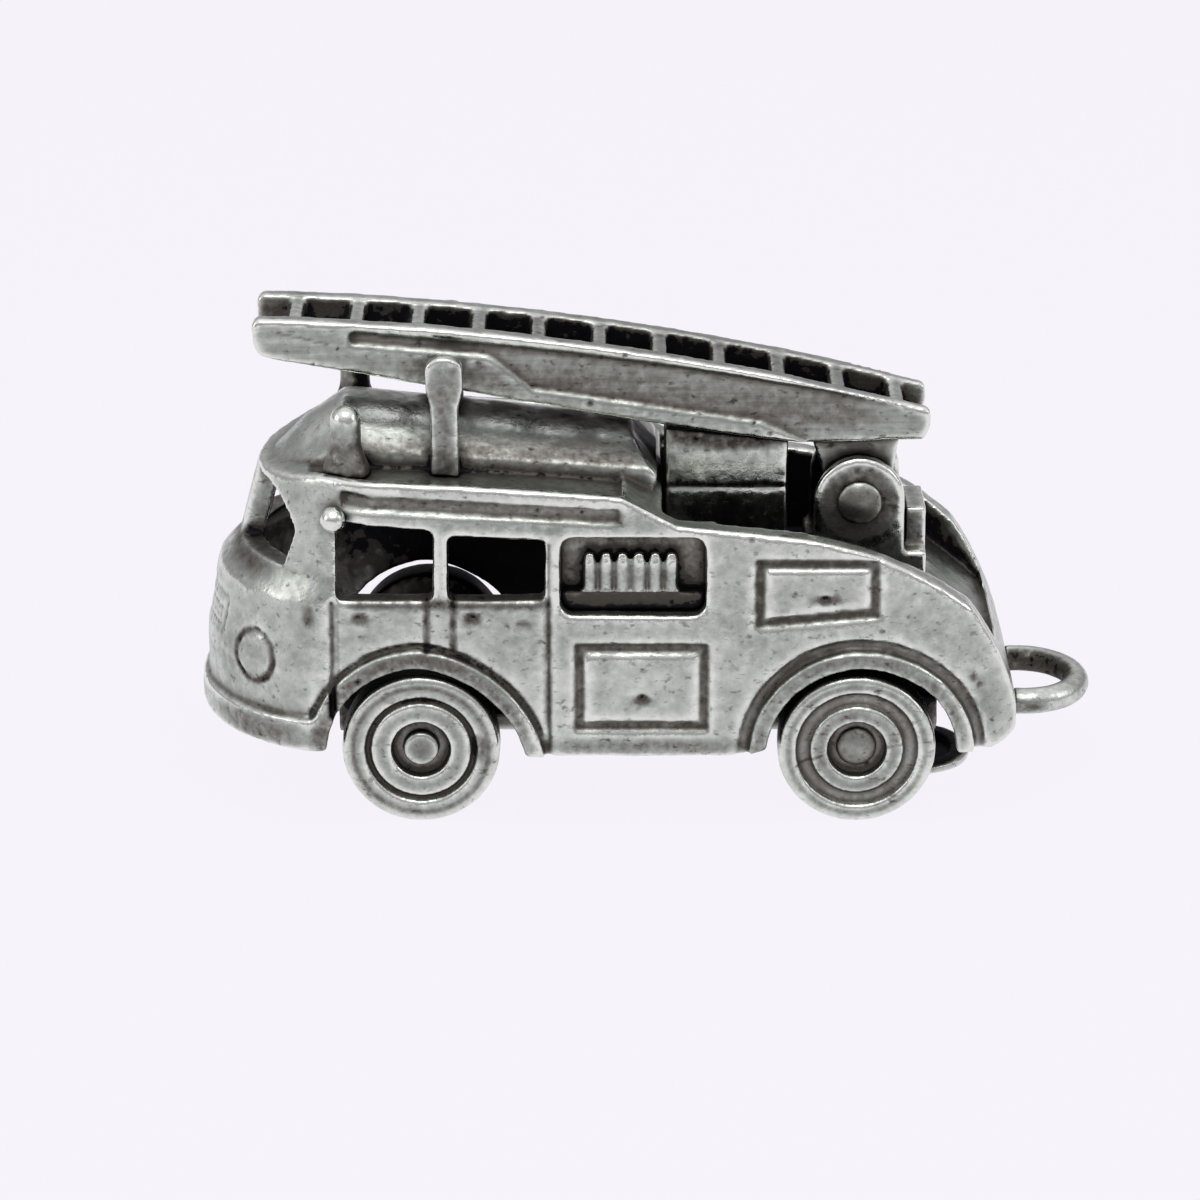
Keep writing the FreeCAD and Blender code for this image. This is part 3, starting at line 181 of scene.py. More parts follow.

    # Recess and cover: rays that meet the charm near by and further off; the far count also paints
    # shade
    around = add(tree, "GeometryNodeObjectInfo", {"Object": given["Surroundings"]})
    turn_in = tree.nodes.new("GeometryNodeRepeatInput")
    turn_out = tree.nodes.new("GeometryNodeRepeatOutput")
    turn_in.pair_with_output(turn_out)
    turn_out.repeat_items.clear()
    turn_out.repeat_items.new("VECTOR", "near and far")
    tree.links.new(given["Rays"], turn_in.inputs["Iterations"])
    turn_in.inputs["near and far"].default_value = (0, 0, 0)
    scatter = add(tree, "FunctionNodeRandomValue", {
        "Min": (-1, -1, -1), "Max": (1, 1, 1),
        "Seed": sums("ADD", turn_in.outputs["Iteration"], given["Seed"])}, data_type="FLOAT_VECTOR")
    unit = vector_sums("NORMALIZE", scatter.outputs[0])
    aim = vector_sums("ADD", normal, unit.outputs[0])
    lift = add(tree, "ShaderNodeVectorMath", {0: normal, "Scale": RAY_LIFT}, operation="SCALE")
    start = vector_sums("ADD", position, lift.outputs[0])
    ray = add(tree, "GeometryNodeRaycast", {
        "Target Geometry": around.outputs["Geometry"], "Source Position": start.outputs[0],
        "Ray Direction": aim.outputs[0], "Ray Length": given["Far Reach"]})
    near = sums("MAXIMUM", 0.0, sums("SUBTRACT", 1.0, sums(
        "DIVIDE", ray.outputs["Hit Distance"], given["Near Reach"])))
    both = add(tree, "ShaderNodeCombineXYZ", {
        0: sums("MULTIPLY", near, ray.outputs["Is Hit"]), 1: ray.outputs["Is Hit"]})
    total = vector_sums("ADD", turn_in.outputs["near and far"], both.outputs[0])
    tree.links.new(total.outputs[0], turn_out.inputs["near and far"])
    kept = tree.nodes.new("GeometryNodeCaptureAttribute")
    kept.capture_items.new("VECTOR", "closeness")
    tree.links.new(worn.outputs[0], kept.inputs["Geometry"])
    tree.links.new(turn_out.outputs["near and far"], kept.inputs["closeness"])
    parts = add(tree, "ShaderNodeSeparateXYZ", {0: kept.outputs["closeness"]})
    marked = kept
    for part, name in ((0, "recess"), (1, "shelter")):
        mean = sums("DIVIDE", parts.outputs[part], given["Rays"])
        even = add(tree, "GeometryNodeBlurAttribute", {
            "Value": mean, "Iterations": 3}, data_type="FLOAT")
        marked = add(tree, "GeometryNodeStoreNamedAttribute", {
            "Geometry": marked.outputs[0], "Name": name, "Value": even.outputs[0]},
            data_type="FLOAT", domain="POINT")

    smooth = add(tree, "GeometryNodeSetShadeSmooth", {"Geometry": marked.outputs[0]})
    real = add(tree, "GeometryNodeRealizeInstances", {"Geometry": smooth.outputs[0]})
    finished = add(tree, "GeometryNodeSetMaterial", {
        "Geometry": real.outputs[0], "Material": given["Finish"]})
    add(tree, "NodeGroupOutput", {"Geometry": finished.outputs[0]})
    return tree


def set_inputs(modifier, values):
    """Set a Geometry Nodes modifier's inputs by their sockets' identifiers."""
    for item in modifier.node_group.interface.items_tree:
        if item.in_out == "INPUT" and item.name in values:
            modifier[item.identifier] = values[item.name]


def surroundings():
    """One mesh of the whole charm at rest, for the rays to meet."""
    item = bpy.data.objects.get("charm_surroundings")
    if item is None:
        whole = bmesh.new()
        for node in frame["nodes"].values():
            whole.from_mesh(node.data)
        mesh = bpy.data.meshes.new("charm_surroundings")
        whole.to_mesh(mesh)
        whole.free()
        item = bpy.data.objects.new("charm_surroundings", mesh)
        bpy.context.scene.collection.objects.link(item)
    return item


def baked(item, name):
    """The evaluated mesh of an object, as a plain mesh."""
    graph = bpy.context.evaluated_depsgraph_get()
    mesh = bpy.data.meshes.new_from_object(
        item.evaluated_get(graph), preserve_all_data_layers=True, depsgraph=graph)
    mesh.name = name
    return mesh


def cast(name, form, face, metal, softness=1.0, most=None):
    """Turn a form in millimetres into a soft-edged casting.

    A mesh of more triangles than most is thinned to that, first where it is flat.
    """
    casting = bpy.context.scene.charm_casting
    mesh = bpy.data.meshes.new(name + "_form")
    form.to_mesh(mesh)
    form.free()
    piece = bpy.data.objects.new(name + "_casting", mesh)
    bpy.context.scene.collection.objects.link(piece)
    remesh = piece.modifiers.new("even_faces", "REMESH")
    remesh.mode = "VOXEL"
    remesh.voxel_size = face / MM
    piece.data = baked(piece, name + "_even")
    piece.modifiers.clear()
    piece.data.transform(Matrix.Scale(MM, 4))
    skin = piece.modifiers.new("casting_skin", "NODES")
    skin.node_group = bpy.data.node_groups.get("casting_skin") or casting_skin()
    set_inputs(skin, {
        "Edge Passes": round(softness * (casting.edge_softness / face) ** 2),
        "Wear Passes": round((casting.wear_width / face) ** 2),
        "Wobble Depth": casting.wobble_depth * softness,
        "Wobble Size": casting.wobble_size,
        "Grain Depth": casting.grain_depth * softness,
        "Grain Size": casting.grain_size,
        "Pit Depth": casting.pit_depth * softness,
        "Pit Spacing": casting.pit_spacing,
        "Near Reach": casting.near_reach,
        "Far Reach": casting.far_reach,
        "Rays": casting.rays,
        "Seed": casting.seed,
        "Surroundings": surroundings(),
        "Finish": metal,
    })
    triangles = 2 * len(piece.data.polygons)
    if most and triangles > most:
        thin = piece.modifiers.new("thinned_flats", "DECIMATE")
        thin.ratio = most / triangles
    piece.data = baked(piece, name + "_casting")
    piece.modifiers.clear()
    return piece


def cast_node(node, face, metal, softness=1.0, most=None, reshape=None):
    """Cast a frame node again, inside its own box, as the piece that stands for it.

    The form, in millimetres, first goes through reshape where that is given.
    """
    form = bmesh.new()
    form.from_mesh(frame["nodes"][node].data)
    bmesh.ops.remove_doubles(form, verts=form.verts, dist=1e-7)
    bmesh.ops.scale(form, vec=(1 / MM, 1 / MM, 1 / MM), verts=form.verts)
    if reshape:
        reshape(form)
    piece = cast(node, form, face, metal, softness, most)
    low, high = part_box(node)
    places = np.clip(vectors(piece.data.vertices, "co"), low, high)
    piece.data.vertices.foreach_set("co", places.ravel())
    piece.data.update()
    mark_patina_and_shade(piece.data, PATINA_AND_SHADE.get(node.removesuffix("_left").removesuffix("_right"), ()))
    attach(piece, NODE_BODY[node])
    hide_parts(node)
    return piece


# Patina, listed one by one: places that stay dark or were polished. Each is in millimetres in the
# charm's frame, with Y as the distance from the middle plane, so that both sides get it.

def vectors(items, key):
    """A mesh's vectors as rows."""
    rows = np.empty(len(items) * 3)
    items.foreach_get(key, rows)
    return rows.reshape(-1, 3)


def fading(distance):
    """Full near the middle, nothing from a distance of 1."""
    return np.clip(1.8 * (1.0 - distance), 0.0, 1.0)


def spot(centre, radii, amount):
    """A round or long patch."""
    def measure(places, normals):
        return amount * fading(np.linalg.norm((places - centre) / radii, axis=1))
    return measure


def facing_spot(centre, radii, way, amount):
    """A patch on the faces that look within about 50 degrees of this way."""
    patch = spot(centre, radii, amount)
    way = np.array(way) / np.linalg.norm(way)

    def measure(places, normals):
        return patch(places, normals) * np.clip(3.0 * (normals @ way) - 1.8, 0.0, 1.0)
    return measure


def streak(start, end_shade_sheet, width, amount):
    """A straight line on the sides, from one (x, z) to another."""
    start, along = np.array(start), np.subtract(end_shade_sheet, start)
    middle_half = 1.2

    def measure(places, normals):
        flat = places[:, (0, 2)] - start
        share = np.clip(flat @ along / (along @ along), 0.0, 1.0)
        away = np.linalg.norm(flat - share[:, None] * along, axis=1)
        return amount * fading(away / width) * (places[:, 1] > middle_half)
    return measure


def hoop(centre, axis, radius, width, amount):
    """A round line about an axis."""
    axis = np.array(axis) / np.linalg.norm(axis)

    def measure(places, normals):
        arm = places - centre
        along = arm @ axis
        across = np.linalg.norm(arm - along[:, None] * axis, axis=1) - radius
        return amount * fading(np.hypot(across, along) / width)
    return measure


def inside_of_hoop(centre, amount):
    """The side of a flat-lying wire ring that looks to its middle."""
    def measure(places, normals):
        arm = (places - centre)[:, :2]
        reach = np.maximum(np.linalg.norm(arm, axis=1), 0.01)
        inward = -np.sum(arm * normals[:, :2], axis=1) / reach
        return amount * np.clip(2.5 * inward - 0.5, 0.0, 1.0)
    return measure


def panel_line(front, rear, top, bottom_front, bottom_rear, width, amount):
    """The sunk line round a panel."""
    corners = ((front, top), (rear, top), (rear, bottom_rear), (front, bottom_front))
    sides = [streak(corners[i], corners[i - 1], width, amount) for i in range(4)]

    def measure(places, normals):
        return np.max([side(places, normals) for side in sides], axis=0)
    return measure


def mark_patina_and_shade(mesh, measures):
    """Store the sum of the patches, oxide, wear and painted shade alike, as a mesh attribute."""
    places = vectors(mesh.vertices, "co") / MM
    normals = vectors(mesh.vertex_normals, "vector")
    normals[:, 1] *= np.sign(places[:, 1])
    places[:, 1] = np.abs(places[:, 1])
    total = sum((measure(places, normals) for measure in measures), np.zeros(len(places)))
    mesh.attributes.new("patina_and_shade", "FLOAT", "POINT").data.foreach_set("value", total)


FRONT_HUB = (6.93, 4.85, 2.43)
REAR_HUB = (-6.44, 4.85, 2.43)
LADDER_PIN = (-6.55, 1.62, 9.35)
SIDEWAYS = (0, 1, 0)
INWARDS = (0, -1, 0)
BACKWARDS = (-1, 0, 0)
OBLIQUE = (0, 1, 1)
# Most patches are oxide, wear and dark joints; those noted below as painted are painted shade or
# shadow
PATINA_AND_SHADE = {
    "body_shell": (
        # Bands of the front and rear flares, and the line round the head lamp
        hoop(FRONT_HUB, SIDEWAYS, 2.95, 0.55, 0.42),
        hoop(REAR_HUB, SIDEWAYS, 2.95, 0.6, 0.32),
        hoop((12.05, 3.65, 5.12), (1, 1, 0), 0.8, 0.15, 0.5),
        # Sides of the windscreen's bar, then painted shade on the insides of the cab, the rear well
        # and the nose
        facing_spot((11.6, 0.0, 9.1), (3.0, 1.1, 2.0), SIDEWAYS, 0.2),
        # Painted shade inside the cab, the rear well and the nose
        facing_spot((6.2, 4.0, 7.2), (5.5, 1.8, 3.6), INWARDS, 0.5),
        facing_spot((-8.4, 4.0, 7.2), (5.2, 1.8, 3.8), INWARDS, 0.4),
        facing_spot((10.5, 0.0, 7.5), (3.0, 4.5, 3.5), BACKWARDS, 0.5),
        # The roof's dome: its flank, its rubbed crown, its foot, and the roof as a whole
        # Painted shade on the dome's flank, damping the top lamp's reflection there
        facing_spot((4.6, 2.1, 10.8), (8.0, 1.4, 1.5), OBLIQUE, 0.28),
        spot((4.6, 1.0, 12.0), (7.5, 1.7, 1.5), -0.26),
        spot((4.6, 3.1, 10.1), (7.5, 1.1, 0.35), 0.14),
        spot((3.2, 0.0, 11.6), (9.5, 4.4, 3.0), 0.08),
        # Back of the locker, cheek by the lamp, foot of the tail, foot of the windscreen
        spot((0.44, 3.75, 8.0), (2.9, 0.5, 1.5), 0.4),
        spot((12.3, 3.0, 5.0), (1.9, 2.2, 1.4), 0.08),
        spot((-10.5, 4.6, 3.6), (0.9, 0.9, 1.3), 0.18),
        spot((12.1, 1.5, 7.85), (1.2, 3.2, 0.6), 0.4),
        # Painted shadow below the roof's rim above the windows, then the sill and the bumper
        spot((3.0, 3.9, 9.6), (7.0, 0.9, 0.5), 0.12),
        # Painted shadow along the cove under the rim
        streak((9.2, 10.45), (0.9, 9.8), 0.3, 0.18),
        spot((0.0, 4.9, 2.5), (5.2, 1.2, 0.4), 0.25),
        spot((11.4, 3.6, 2.9), (2.8, 2.2, 0.8), 0.28),
        # Door lines below the pillar, lower edge of the windows, seams at the doors' ends
        streak((6.70, 5.75), (6.70, 7.2), 0.13, 0.34),
        streak((5.88, 5.75), (5.88, 7.2), 0.13, 0.34),
        streak((8.9, 7.16), (3.1, 7.16), 0.2, 0.5),
        streak((9.47, 7.1), (9.47, 4.4), 0.14, 0.2),
        streak((3.03, 7.0), (3.03, 3.2), 0.18, 0.2),
        # Lines round the low and the high panel
        panel_line(2.09, -1.75, 5.78, 3.2, 3.2, 0.19, 0.28),
        panel_line(-3.4, -6.93, 8.4, 6.52, 6.84, 0.19, 0.28),
        # Handles on the doors and panels, and a dent before the front door
        spot((8.73, 4.6, 6.7), (0.36, 0.8, 0.26), 0.4),
        spot((5.33, 4.6, 6.7), (0.38, 0.8, 0.28), 0.5),
        spot((3.75, 4.6, 6.55), (0.28, 0.8, 0.16), 0.3),
        spot((0.15, 4.6, 4.06), (0.46, 0.8, 0.22), 0.5),
        spot((-5.45, 4.6, 7.27), (0.6, 0.8, 0.2), 0.5),
        spot((10.3, 4.4, 6.7), (0.24, 0.9, 0.44), 0.35),
        # A nick at the tail
        streak((-9.9, 4.75), (-10.2, 4.4), 0.1, 0.4),
    ),
    "charm_ring": (
        inside_of_hoop((-12.6, 0.0, 2.75), 0.55),
        spot((-11.85, 1.95, 2.7), (0.85, 0.6, 0.26), 0.4),
    ),
    "hose_box": (
        # Painted shadow of the ladder on the box's top
        spot((-2.45, 1.15, 11.4), (3.2, 0.8, 0.6), 0.6),
        spot((-2.45, 1.15, 9.2), (3.2, 0.8, 2.6), -0.2),
        spot((-2.45, 1.15, 7.8), (3.2, 0.8, 1.9), -0.12),
    ),
    "ladder_bracket": (
        spot((-6.6, 1.6, 8.8), (2.4, 2.0, 2.2), 0.14),
        # Painted shade of the ears' recess round the pin
        spot(LADDER_PIN, (1.5, 0.5, 1.5), 0.24),
        hoop(LADDER_PIN, SIDEWAYS, 1.4, 0.24, -0.4),
    ),
    # Painted shade on the pin's head, in the ears' recess
    "ladder_pin": (spot((-6.55, 2.2, 9.3), (1.4, 1.4, 1.2), 0.16),),
    "ladder": (
        spot((10.6, 2.2, 14.6), (1.7, 0.8, 0.5), -0.2),
        streak((11.2, 14.8), (9.7, 14.45), 0.05, 0.2),
        spot((0.0, 0.0, 13.8), (13.5, 1.7, 2.2), 0.14),
        # Painted shade on the rails' inner faces, between the rails
        facing_spot((1.5, 1.2, 13.6), (16.0, 1.5, 4.0), INWARDS, 0.55),
        streak((7.0, 13.5), (-6.0, 12.1), 0.7, 0.12),
    ),
    "roof_post": (spot((9.1, 3.3, 11.2), (2.0, 2.0, 1.4), 0.26),),
    "ladder_rest": (
        spot((6.0, 2.4, 10.8), (1.0, 1.2, 0.9), 0.2),
        spot((6.15, 2.9, 12.6), (0.6, 0.6, 2.4), 0.08),
    ),
    "locker_bottles": (spot((0.5, 4.4, 7.9), (4.0, 1.0, 0.5), 0.2),),
    "front_axle": (spot(FRONT_HUB, (0.9, 0.9, 0.9), 0.05),),
    "rear_axle": (spot(REAR_HUB, (0.9, 0.9, 0.9), 0.16),),
    "wheel_front": (
        hoop(FRONT_HUB, SIDEWAYS, 2.08, 0.1, 0.2),
        spot((5.2, 4.85, 2.5), (0.34, 0.7, 0.55), 0.4),
        spot((7.0, 4.85, 4.05), (1.1, 0.7, 0.22), 0.22),
    ),
    "wheel_rear": (
        hoop(REAR_HUB, SIDEWAYS, 2.1, 0.1, 0.16),
        hoop(REAR_HUB, SIDEWAYS, 1.15, 0.4, 0.14),
        streak((-4.6, 1.9), (-5.35, 2.25), 0.06, 0.3),
    ),
}


# Silver in its states of polish and tarnish, with painted shade under and inside its parts

def tarnished_silver(name, bright, satin, dull, brown, black, settings):
    """Cast sterling silver that was blackened all over and rubbed back.

    What gives it away: rubbed edges near white, satin flats, brown-grey oxide where a cloth
    doesn't reach, deepened by painted shade under and inside the parts, and near black in the
    corners and, as painted deep shade, in the inner hollows, with fine scratches and casting pits.
    """
    material = bpy.data.materials.new(name)
    material.use_nodes = True
    tree = material.node_tree
    shader = tree.nodes["Principled BSDF"]
    place = add(tree, "ShaderNodeTexCoord").outputs["Object"]

    def mark(attribute):
        return add(tree, "ShaderNodeAttribute", attribute_name=attribute).outputs["Fac"]

    def sums(operation, *values):
        return add(tree, "ShaderNodeMath", dict(enumerate(values)), operation=operation).outputs[0]

    recess, shelter, wear, pit, patina_and_shade = (
        mark(text) for text in ("recess", "shelter", "wear", "pit", "patina_and_shade"))
    # Clouds of oxide, 2 to 3 mm across
    cloud = add(tree, "ShaderNodeTexNoise", {
        "Vector": place, "Scale": per_mm(1.8), "Detail": 5.0, "Roughness": 0.62}).outputs[0]
    # Mottle of the etched surface, a quarter of a millimetre
    mottle = add(tree, "ShaderNodeTexNoise", {
        "Vector": place, "Scale": per_mm(0.26), "Detail": 3.0, "Roughness": 0.6}).outputs[0]
    # Short dark scars of handling, along the body
    flattened = add(tree, "ShaderNodeMapping", {"Vector": place, "Scale": (0.55, 1.0, 0.9)})
    scar = add(tree, "ShaderNodeTexNoise", {
        "Vector": flattened.outputs[0], "Scale": per_mm(0.17), "Detail": 4.0,
        "Roughness": 0.55}).outputs[0]
    scar_threshold = 0.6
    scars = sums("MAXIMUM", sums("SUBTRACT", scar, scar_threshold), 0.0)
    # Rubbing scratches, long across the brush direction's small scale
    stretched = add(tree, "ShaderNodeMapping", {"Vector": place, "Scale": settings["brush"]})
    scratch = add(tree, "ShaderNodeTexNoise", {
        "Vector": stretched.outputs[0], "Scale": per_mm(0.12), "Detail": 2.0,
        "Roughness": 0.5}).outputs[0]

    tarnish = sums("MULTIPLY_ADD", recess, settings["recess"], settings["start"])
    # The far rays' cover darkens as oxide a cloth misses and as painted shade under and inside
    # parts
    tarnish = sums("MULTIPLY_ADD", shelter, settings["shelter"], tarnish)
    # Inside hollows, where more than this share of the rays is stopped, the black was never rubbed;
    # it is also painted deep shade
    enclosed_black_and_shade = sums("MAXIMUM", sums("SUBTRACT", shelter, 0.7), 0.0)
    tarnish = sums("MULTIPLY_ADD", enclosed_black_and_shade, 4.5, tarnish)
    tarnish = sums("MULTIPLY_ADD", sums("SUBTRACT", cloud, 0.5), settings["cloud"], tarnish)
    tarnish = sums("MULTIPLY_ADD", sums("SUBTRACT", mottle, 0.5), settings["mottle"], tarnish)
    tarnish = sums("MULTIPLY_ADD", sums("SUBTRACT", scratch, 0.5), settings["scratch"], tarnish)
    rubbed = sums("MINIMUM", sums("MAXIMUM", wear, -1.0), 1.0)
    tarnish = sums("MULTIPLY_ADD", rubbed, -settings["wear"], tarnish)
    tarnish = sums("MULTIPLY_ADD", pit, settings["pit"], tarnish)
    tarnish = sums("MULTIPLY_ADD", scars, settings["scars"], tarnish)
    uneven = sums("MULTIPLY_ADD", mottle, 1.4, 0.3)
    # The listed patches: oxide, wear and some painted shade
    tarnish = sums("MULTIPLY_ADD", patina_and_shade, uneven, tarnish)
    if settings["dark_below"]:
        never_rubbed = 0.7
        height = add(tree, "ShaderNodeSeparateXYZ", {0: place}).outputs[2]
        low = sums("LESS_THAN", height, settings["dark_below"])
        tarnish = sums("MULTIPLY_ADD", low, never_rubbed, tarnish)
    tarnish = sums("MAXIMUM", sums("MINIMUM", tarnish, 1.0), 0.0)

    ramp = add(tree, "ShaderNodeValToRGB", {"Fac": tarnish})
    stops = ramp.color_ramp.elements
    stops[0].position = 0.0
    stops[0].color = colour(bright)
    stops[1].position = 1.0
    stops[1].color = colour(black)
    for position, shade in ((0.26, satin), (0.5, dull), (0.76, brown), (0.92, brown)):
        stops.new(position).color = colour(shade)
    tree.links.new(ramp.outputs["Color"], shader.inputs["Base Color"])
    shader.inputs["Metallic"].default_value = 1.0
    gloss = add(tree, "ShaderNodeMapRange", {
        "Value": tarnish, "From Min": 0.0, "From Max": 0.8,
        "To Min": settings["rough"][0], "To Max": settings["rough"][1]})
    rough = sums("MULTIPLY_ADD", sums("SUBTRACT", mottle, 0.5), 0.25, gloss.outputs[0])
    tree.links.new(rough, shader.inputs["Roughness"])
    relief = sums("MULTIPLY_ADD", scratch, 0.5, mottle)
    bump = add(tree, "ShaderNodeBump", {
        "Height": relief, "Strength": settings["relief"], "Distance": 0.03 * MM})
    tree.links.new(bump.outputs[0], shader.inputs["Normal"])
    return material


# Polished edge, satin flat, dulled, brown oxide, black oxide that also serves as painted deep shade
PALETTE = ("#E5E8E0", "#AAAFA7", "#7F7D77", "#55514B", "#232225")


def finish(name):
    """The finish by name, made once.

    Tarnish runs from 0, polished, to 1, black. It starts at start; recess, the far rays' cover
    (oxide and painted shade), pit and scars add to it, wear takes off, and cloud, mottle and
    scratch swing it both ways.
    """
    material = bpy.data.materials.get(name)
    if material:
        return material
    base = {
        "start": 0.205, "recess": 0.95, "shelter": 0.24, "wear": 0.36, "pit": 0.3, "scars": 2.2,
        "cloud": 0.18, "mottle": 0.12, "scratch": 0.08, "brush": (1.0, 1.0, 1.0),
        "rough": (0.2, 0.62), "relief": 0.4, "dark_below": 0.0,
    }
    changes = {
        # Cast and wiped with a cloth: even satin flats, dark lines
        "satin_cast_silver": {},
        # Cast and drawn along a brush: fine lines along the rails
        "brushed_cast_silver": {
            "start": 0.3, "brush": (0.06, 1.0, 1.0), "scratch": 0.25, "cloud": 0.25, "mottle": 0.2},
        # Cast and hardly rubbed: cloudy brown-grey
        "browned_cast_silver": {
            "start": 0.25, "shelter": 0.12, "recess": 0.6, "brush": (1.0, 1.0, 0.15),
            "cloud": 0.5, "mottle": 0.4},
        # Cast, blackened and left: dull dark grey
        "oxidised_silver": {"start": 0.4, "shelter": 0.36, "mottle": 0.2},
        # Thin standing pieces and wire that fingers rub: bright and dark side by side
        "rubbed_silver": {
            "start": 0.33, "shelter": 0.2, "recess": 0.9, "cloud": 0.6, "mottle": 0.35},
        # The bottles: bright above their ledge, black below
        "bottle_silver": {
            "start": 0.16, "shelter": 0.3, "wear": 0.25, "dark_below": 7.42 * MM},
        # Wheels turned in a lathe: fine rings of grey in the grooves
        "turned_silver": {
            "start": 0.34, "shelter": 0.1, "recess": 0.34, "scratch": 0.15, "cloud": 0.35,
            "mottle": 0.2},
    }
    return tarnished_silver(name, *PALETTE, {**base, **changes[name]})


# Sizes and colours that a user would change

class CharmCasting(bpy.types.PropertyGroup):
    """Sizes of the casting skin."""

    body_face: FloatProperty(
        name="Body faces", description="Width of the body casting's mesh faces",
        default=0.075 * MM, min=0.05 * MM, unit="LENGTH", precision=6)
    large_face: FloatProperty(
        name="Large faces", description="Width of the mesh faces on the ladder, box and bracket",
        default=0.075 * MM, min=0.03 * MM, unit="LENGTH", precision=6)
    small_face: FloatProperty(
        name="Small faces", description="Width of the mesh faces on wheels, posts and pins",
        default=0.06 * MM, min=0.03 * MM, unit="LENGTH", precision=6)
    edge_softness: FloatProperty(
        name="Edge softness", description="How far an edge is rounded over",
        default=0.15 * MM, min=0.0, unit="LENGTH", precision=6)
    wear_width: FloatProperty(
        name="Wear width", description="Width of the rubbed band along an edge",
        default=0.2 * MM, min=0.0, unit="LENGTH", precision=6)
    chassis_overhang: FloatProperty(
        name="Chassis overhang", description="How far the chassis plate runs on past the axle arms",
        default=1.9 * MM, min=0.0, unit="LENGTH", precision=6)
    wobble_depth: FloatProperty(
        name="Wobble depth", description="How far a face swings off its true shape",
        default=0.04 * MM, min=0.0, unit="LENGTH", precision=6)
    wobble_size: FloatProperty(
        name="Wobble size", description="Length of one swing of a face",
        default=1.6 * MM, min=0.1 * MM, unit="LENGTH", precision=6)
    grain_depth: FloatProperty(
        name="Grain depth", description="Height of the sand-like grain that the mould leaves",
        default=0.035 * MM, min=0.0, unit="LENGTH", precision=6)
    grain_size: FloatProperty(
        name="Grain size", description="Length of one bump of the grain",
        default=0.42 * MM, min=0.05 * MM, unit="LENGTH", precision=6)
    pit_depth: FloatProperty(
        name="Pit depth", description="Depth of the casting pits",
        default=0.05 * MM, min=0.0, unit="LENGTH", precision=6)
    pit_spacing: FloatProperty(
        name="Pit spacing", description="Distance from pit to pit",
        default=0.9 * MM, min=0.1 * MM, unit="LENGTH", precision=6)
    near_reach: FloatProperty(
        name="Near reach",
        description="How near a wall must be for black oxide to stay in the corner",
        default=0.5 * MM, min=0.01 * MM, unit="LENGTH", precision=6)
    # The far rays darken the finish as oxide a cloth misses and as painted shade under and inside
    # parts
    far_reach: FloatProperty(
        name="Far reach", description="How near other parts must be to keep a cloth away",
        default=12.0 * MM, min=0.1 * MM, unit="LENGTH", precision=6)
    rays: IntProperty(name="Rays", description="Rays cast from each point", default=20, min=4)
    seed: IntProperty(name="Seed", description="Fixed seed of the rays", default=7)


class CharmStage(bpy.types.PropertyGroup):
    """Floor, light and view."""

    paper: FloatVectorProperty(
        name="Paper", description="Colour of the floor and background",
        default=colour("#F7F4FB")[:3], subtype="COLOR", size=3, min=0.0, max=1.0)
    surround_strength: FloatProperty(
        name="Surround strength", description="Light that the surroundings give",
        default=0.55, min=0.0)
    wall_share: FloatProperty(
        name="Wall share", description="Brightness of the studio's walls against its ceiling",
        default=0.4, min=0.0, max=1.0)
    top_power: FloatProperty(
        name="Top lamp", description="Power of the softbox overhead",
        default=0.07, min=0.0, unit="POWER")
    side_power: FloatProperty(
        name="Side lamps", description="Power of each softbox at the side",
        default=0.024, min=0.0, unit="POWER")
    elevation: FloatProperty(
        name="Elevation", description="How far the camera looks down",
        default=math.radians(22.0), subtype="ANGLE", unit="ROTATION")
    distance: FloatProperty(
        name="Distance", description="From the camera to the middle of the charm",
        default=140.0 * MM, unit="LENGTH", precision=6)


# One operator for each piece or group of like pieces

class CastBody(bpy.types.Operator):
    """Cast the hollow body shell with its roof dome, flares and bumper"""

    bl_idname = "charm.cast_body"
    bl_label = "Body shell"

    def execute(self, context):
        casting = context.scene.charm_casting
        cast_node(
            "body_shell", casting.body_face, finish("satin_cast_silver"), most=MOST_TRIANGLES)
        return {"FINISHED"}


class CastUnderside(bpy.types.Operator):
    """Cast the chassis, the axles and the eye below the tail"""

    bl_idname = "charm.cast_underside"
    bl_label = "Chassis, axles and eye"

    def execute(self, context):
        casting = context.scene.charm_casting
        cast_node("chassis", 1.5 * casting.body_face, finish("oxidised_silver"))
        for node in ("front_axle", "rear_axle"):
            cast_node(node, casting.small_face, finish("oxidised_silver"), softness=0.4)
        cast_node("tow_eye", casting.small_face, finish("oxidised_silver"))
        # The plate runs on past the axle arms at both ends, deep in the shell's shadow: a dark
        # sheet that stands in for the shade seen through the wheel arches
        low, high = (Vector(corner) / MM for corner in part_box("chassis"))
        thickness = 1.3
        half_width = 2.2
        overlap = 0.2
        overhang = casting.chassis_overhang / MM
        for name, start, end_shade_sheet in (("front", high.x - overlap, high.x + overhang),
                                 ("rear", low.x - overhang, low.x + overlap)):
            size = Vector((end_shade_sheet - start, 2 * half_width, thickness))
            middle = Vector(((start + end_shade_sheet) / 2, 0, high.z - thickness / 2))
            form = bmesh.new()
            bmesh.ops.create_cube(form, size=1.0, matrix=Matrix.LocRotScale(middle, None, size))
            piece = cast(
                f"chassis_{name}_end", form, 1.5 * casting.body_face, finish("oxidised_silver"))
            # Painted shade, darkening the sheet further
            mark_patina_and_shade(piece.data, (spot(middle, (9, 9, 9), 0.3),))
            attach(piece, NODE_BODY["chassis"])
        return {"FINISHED"}


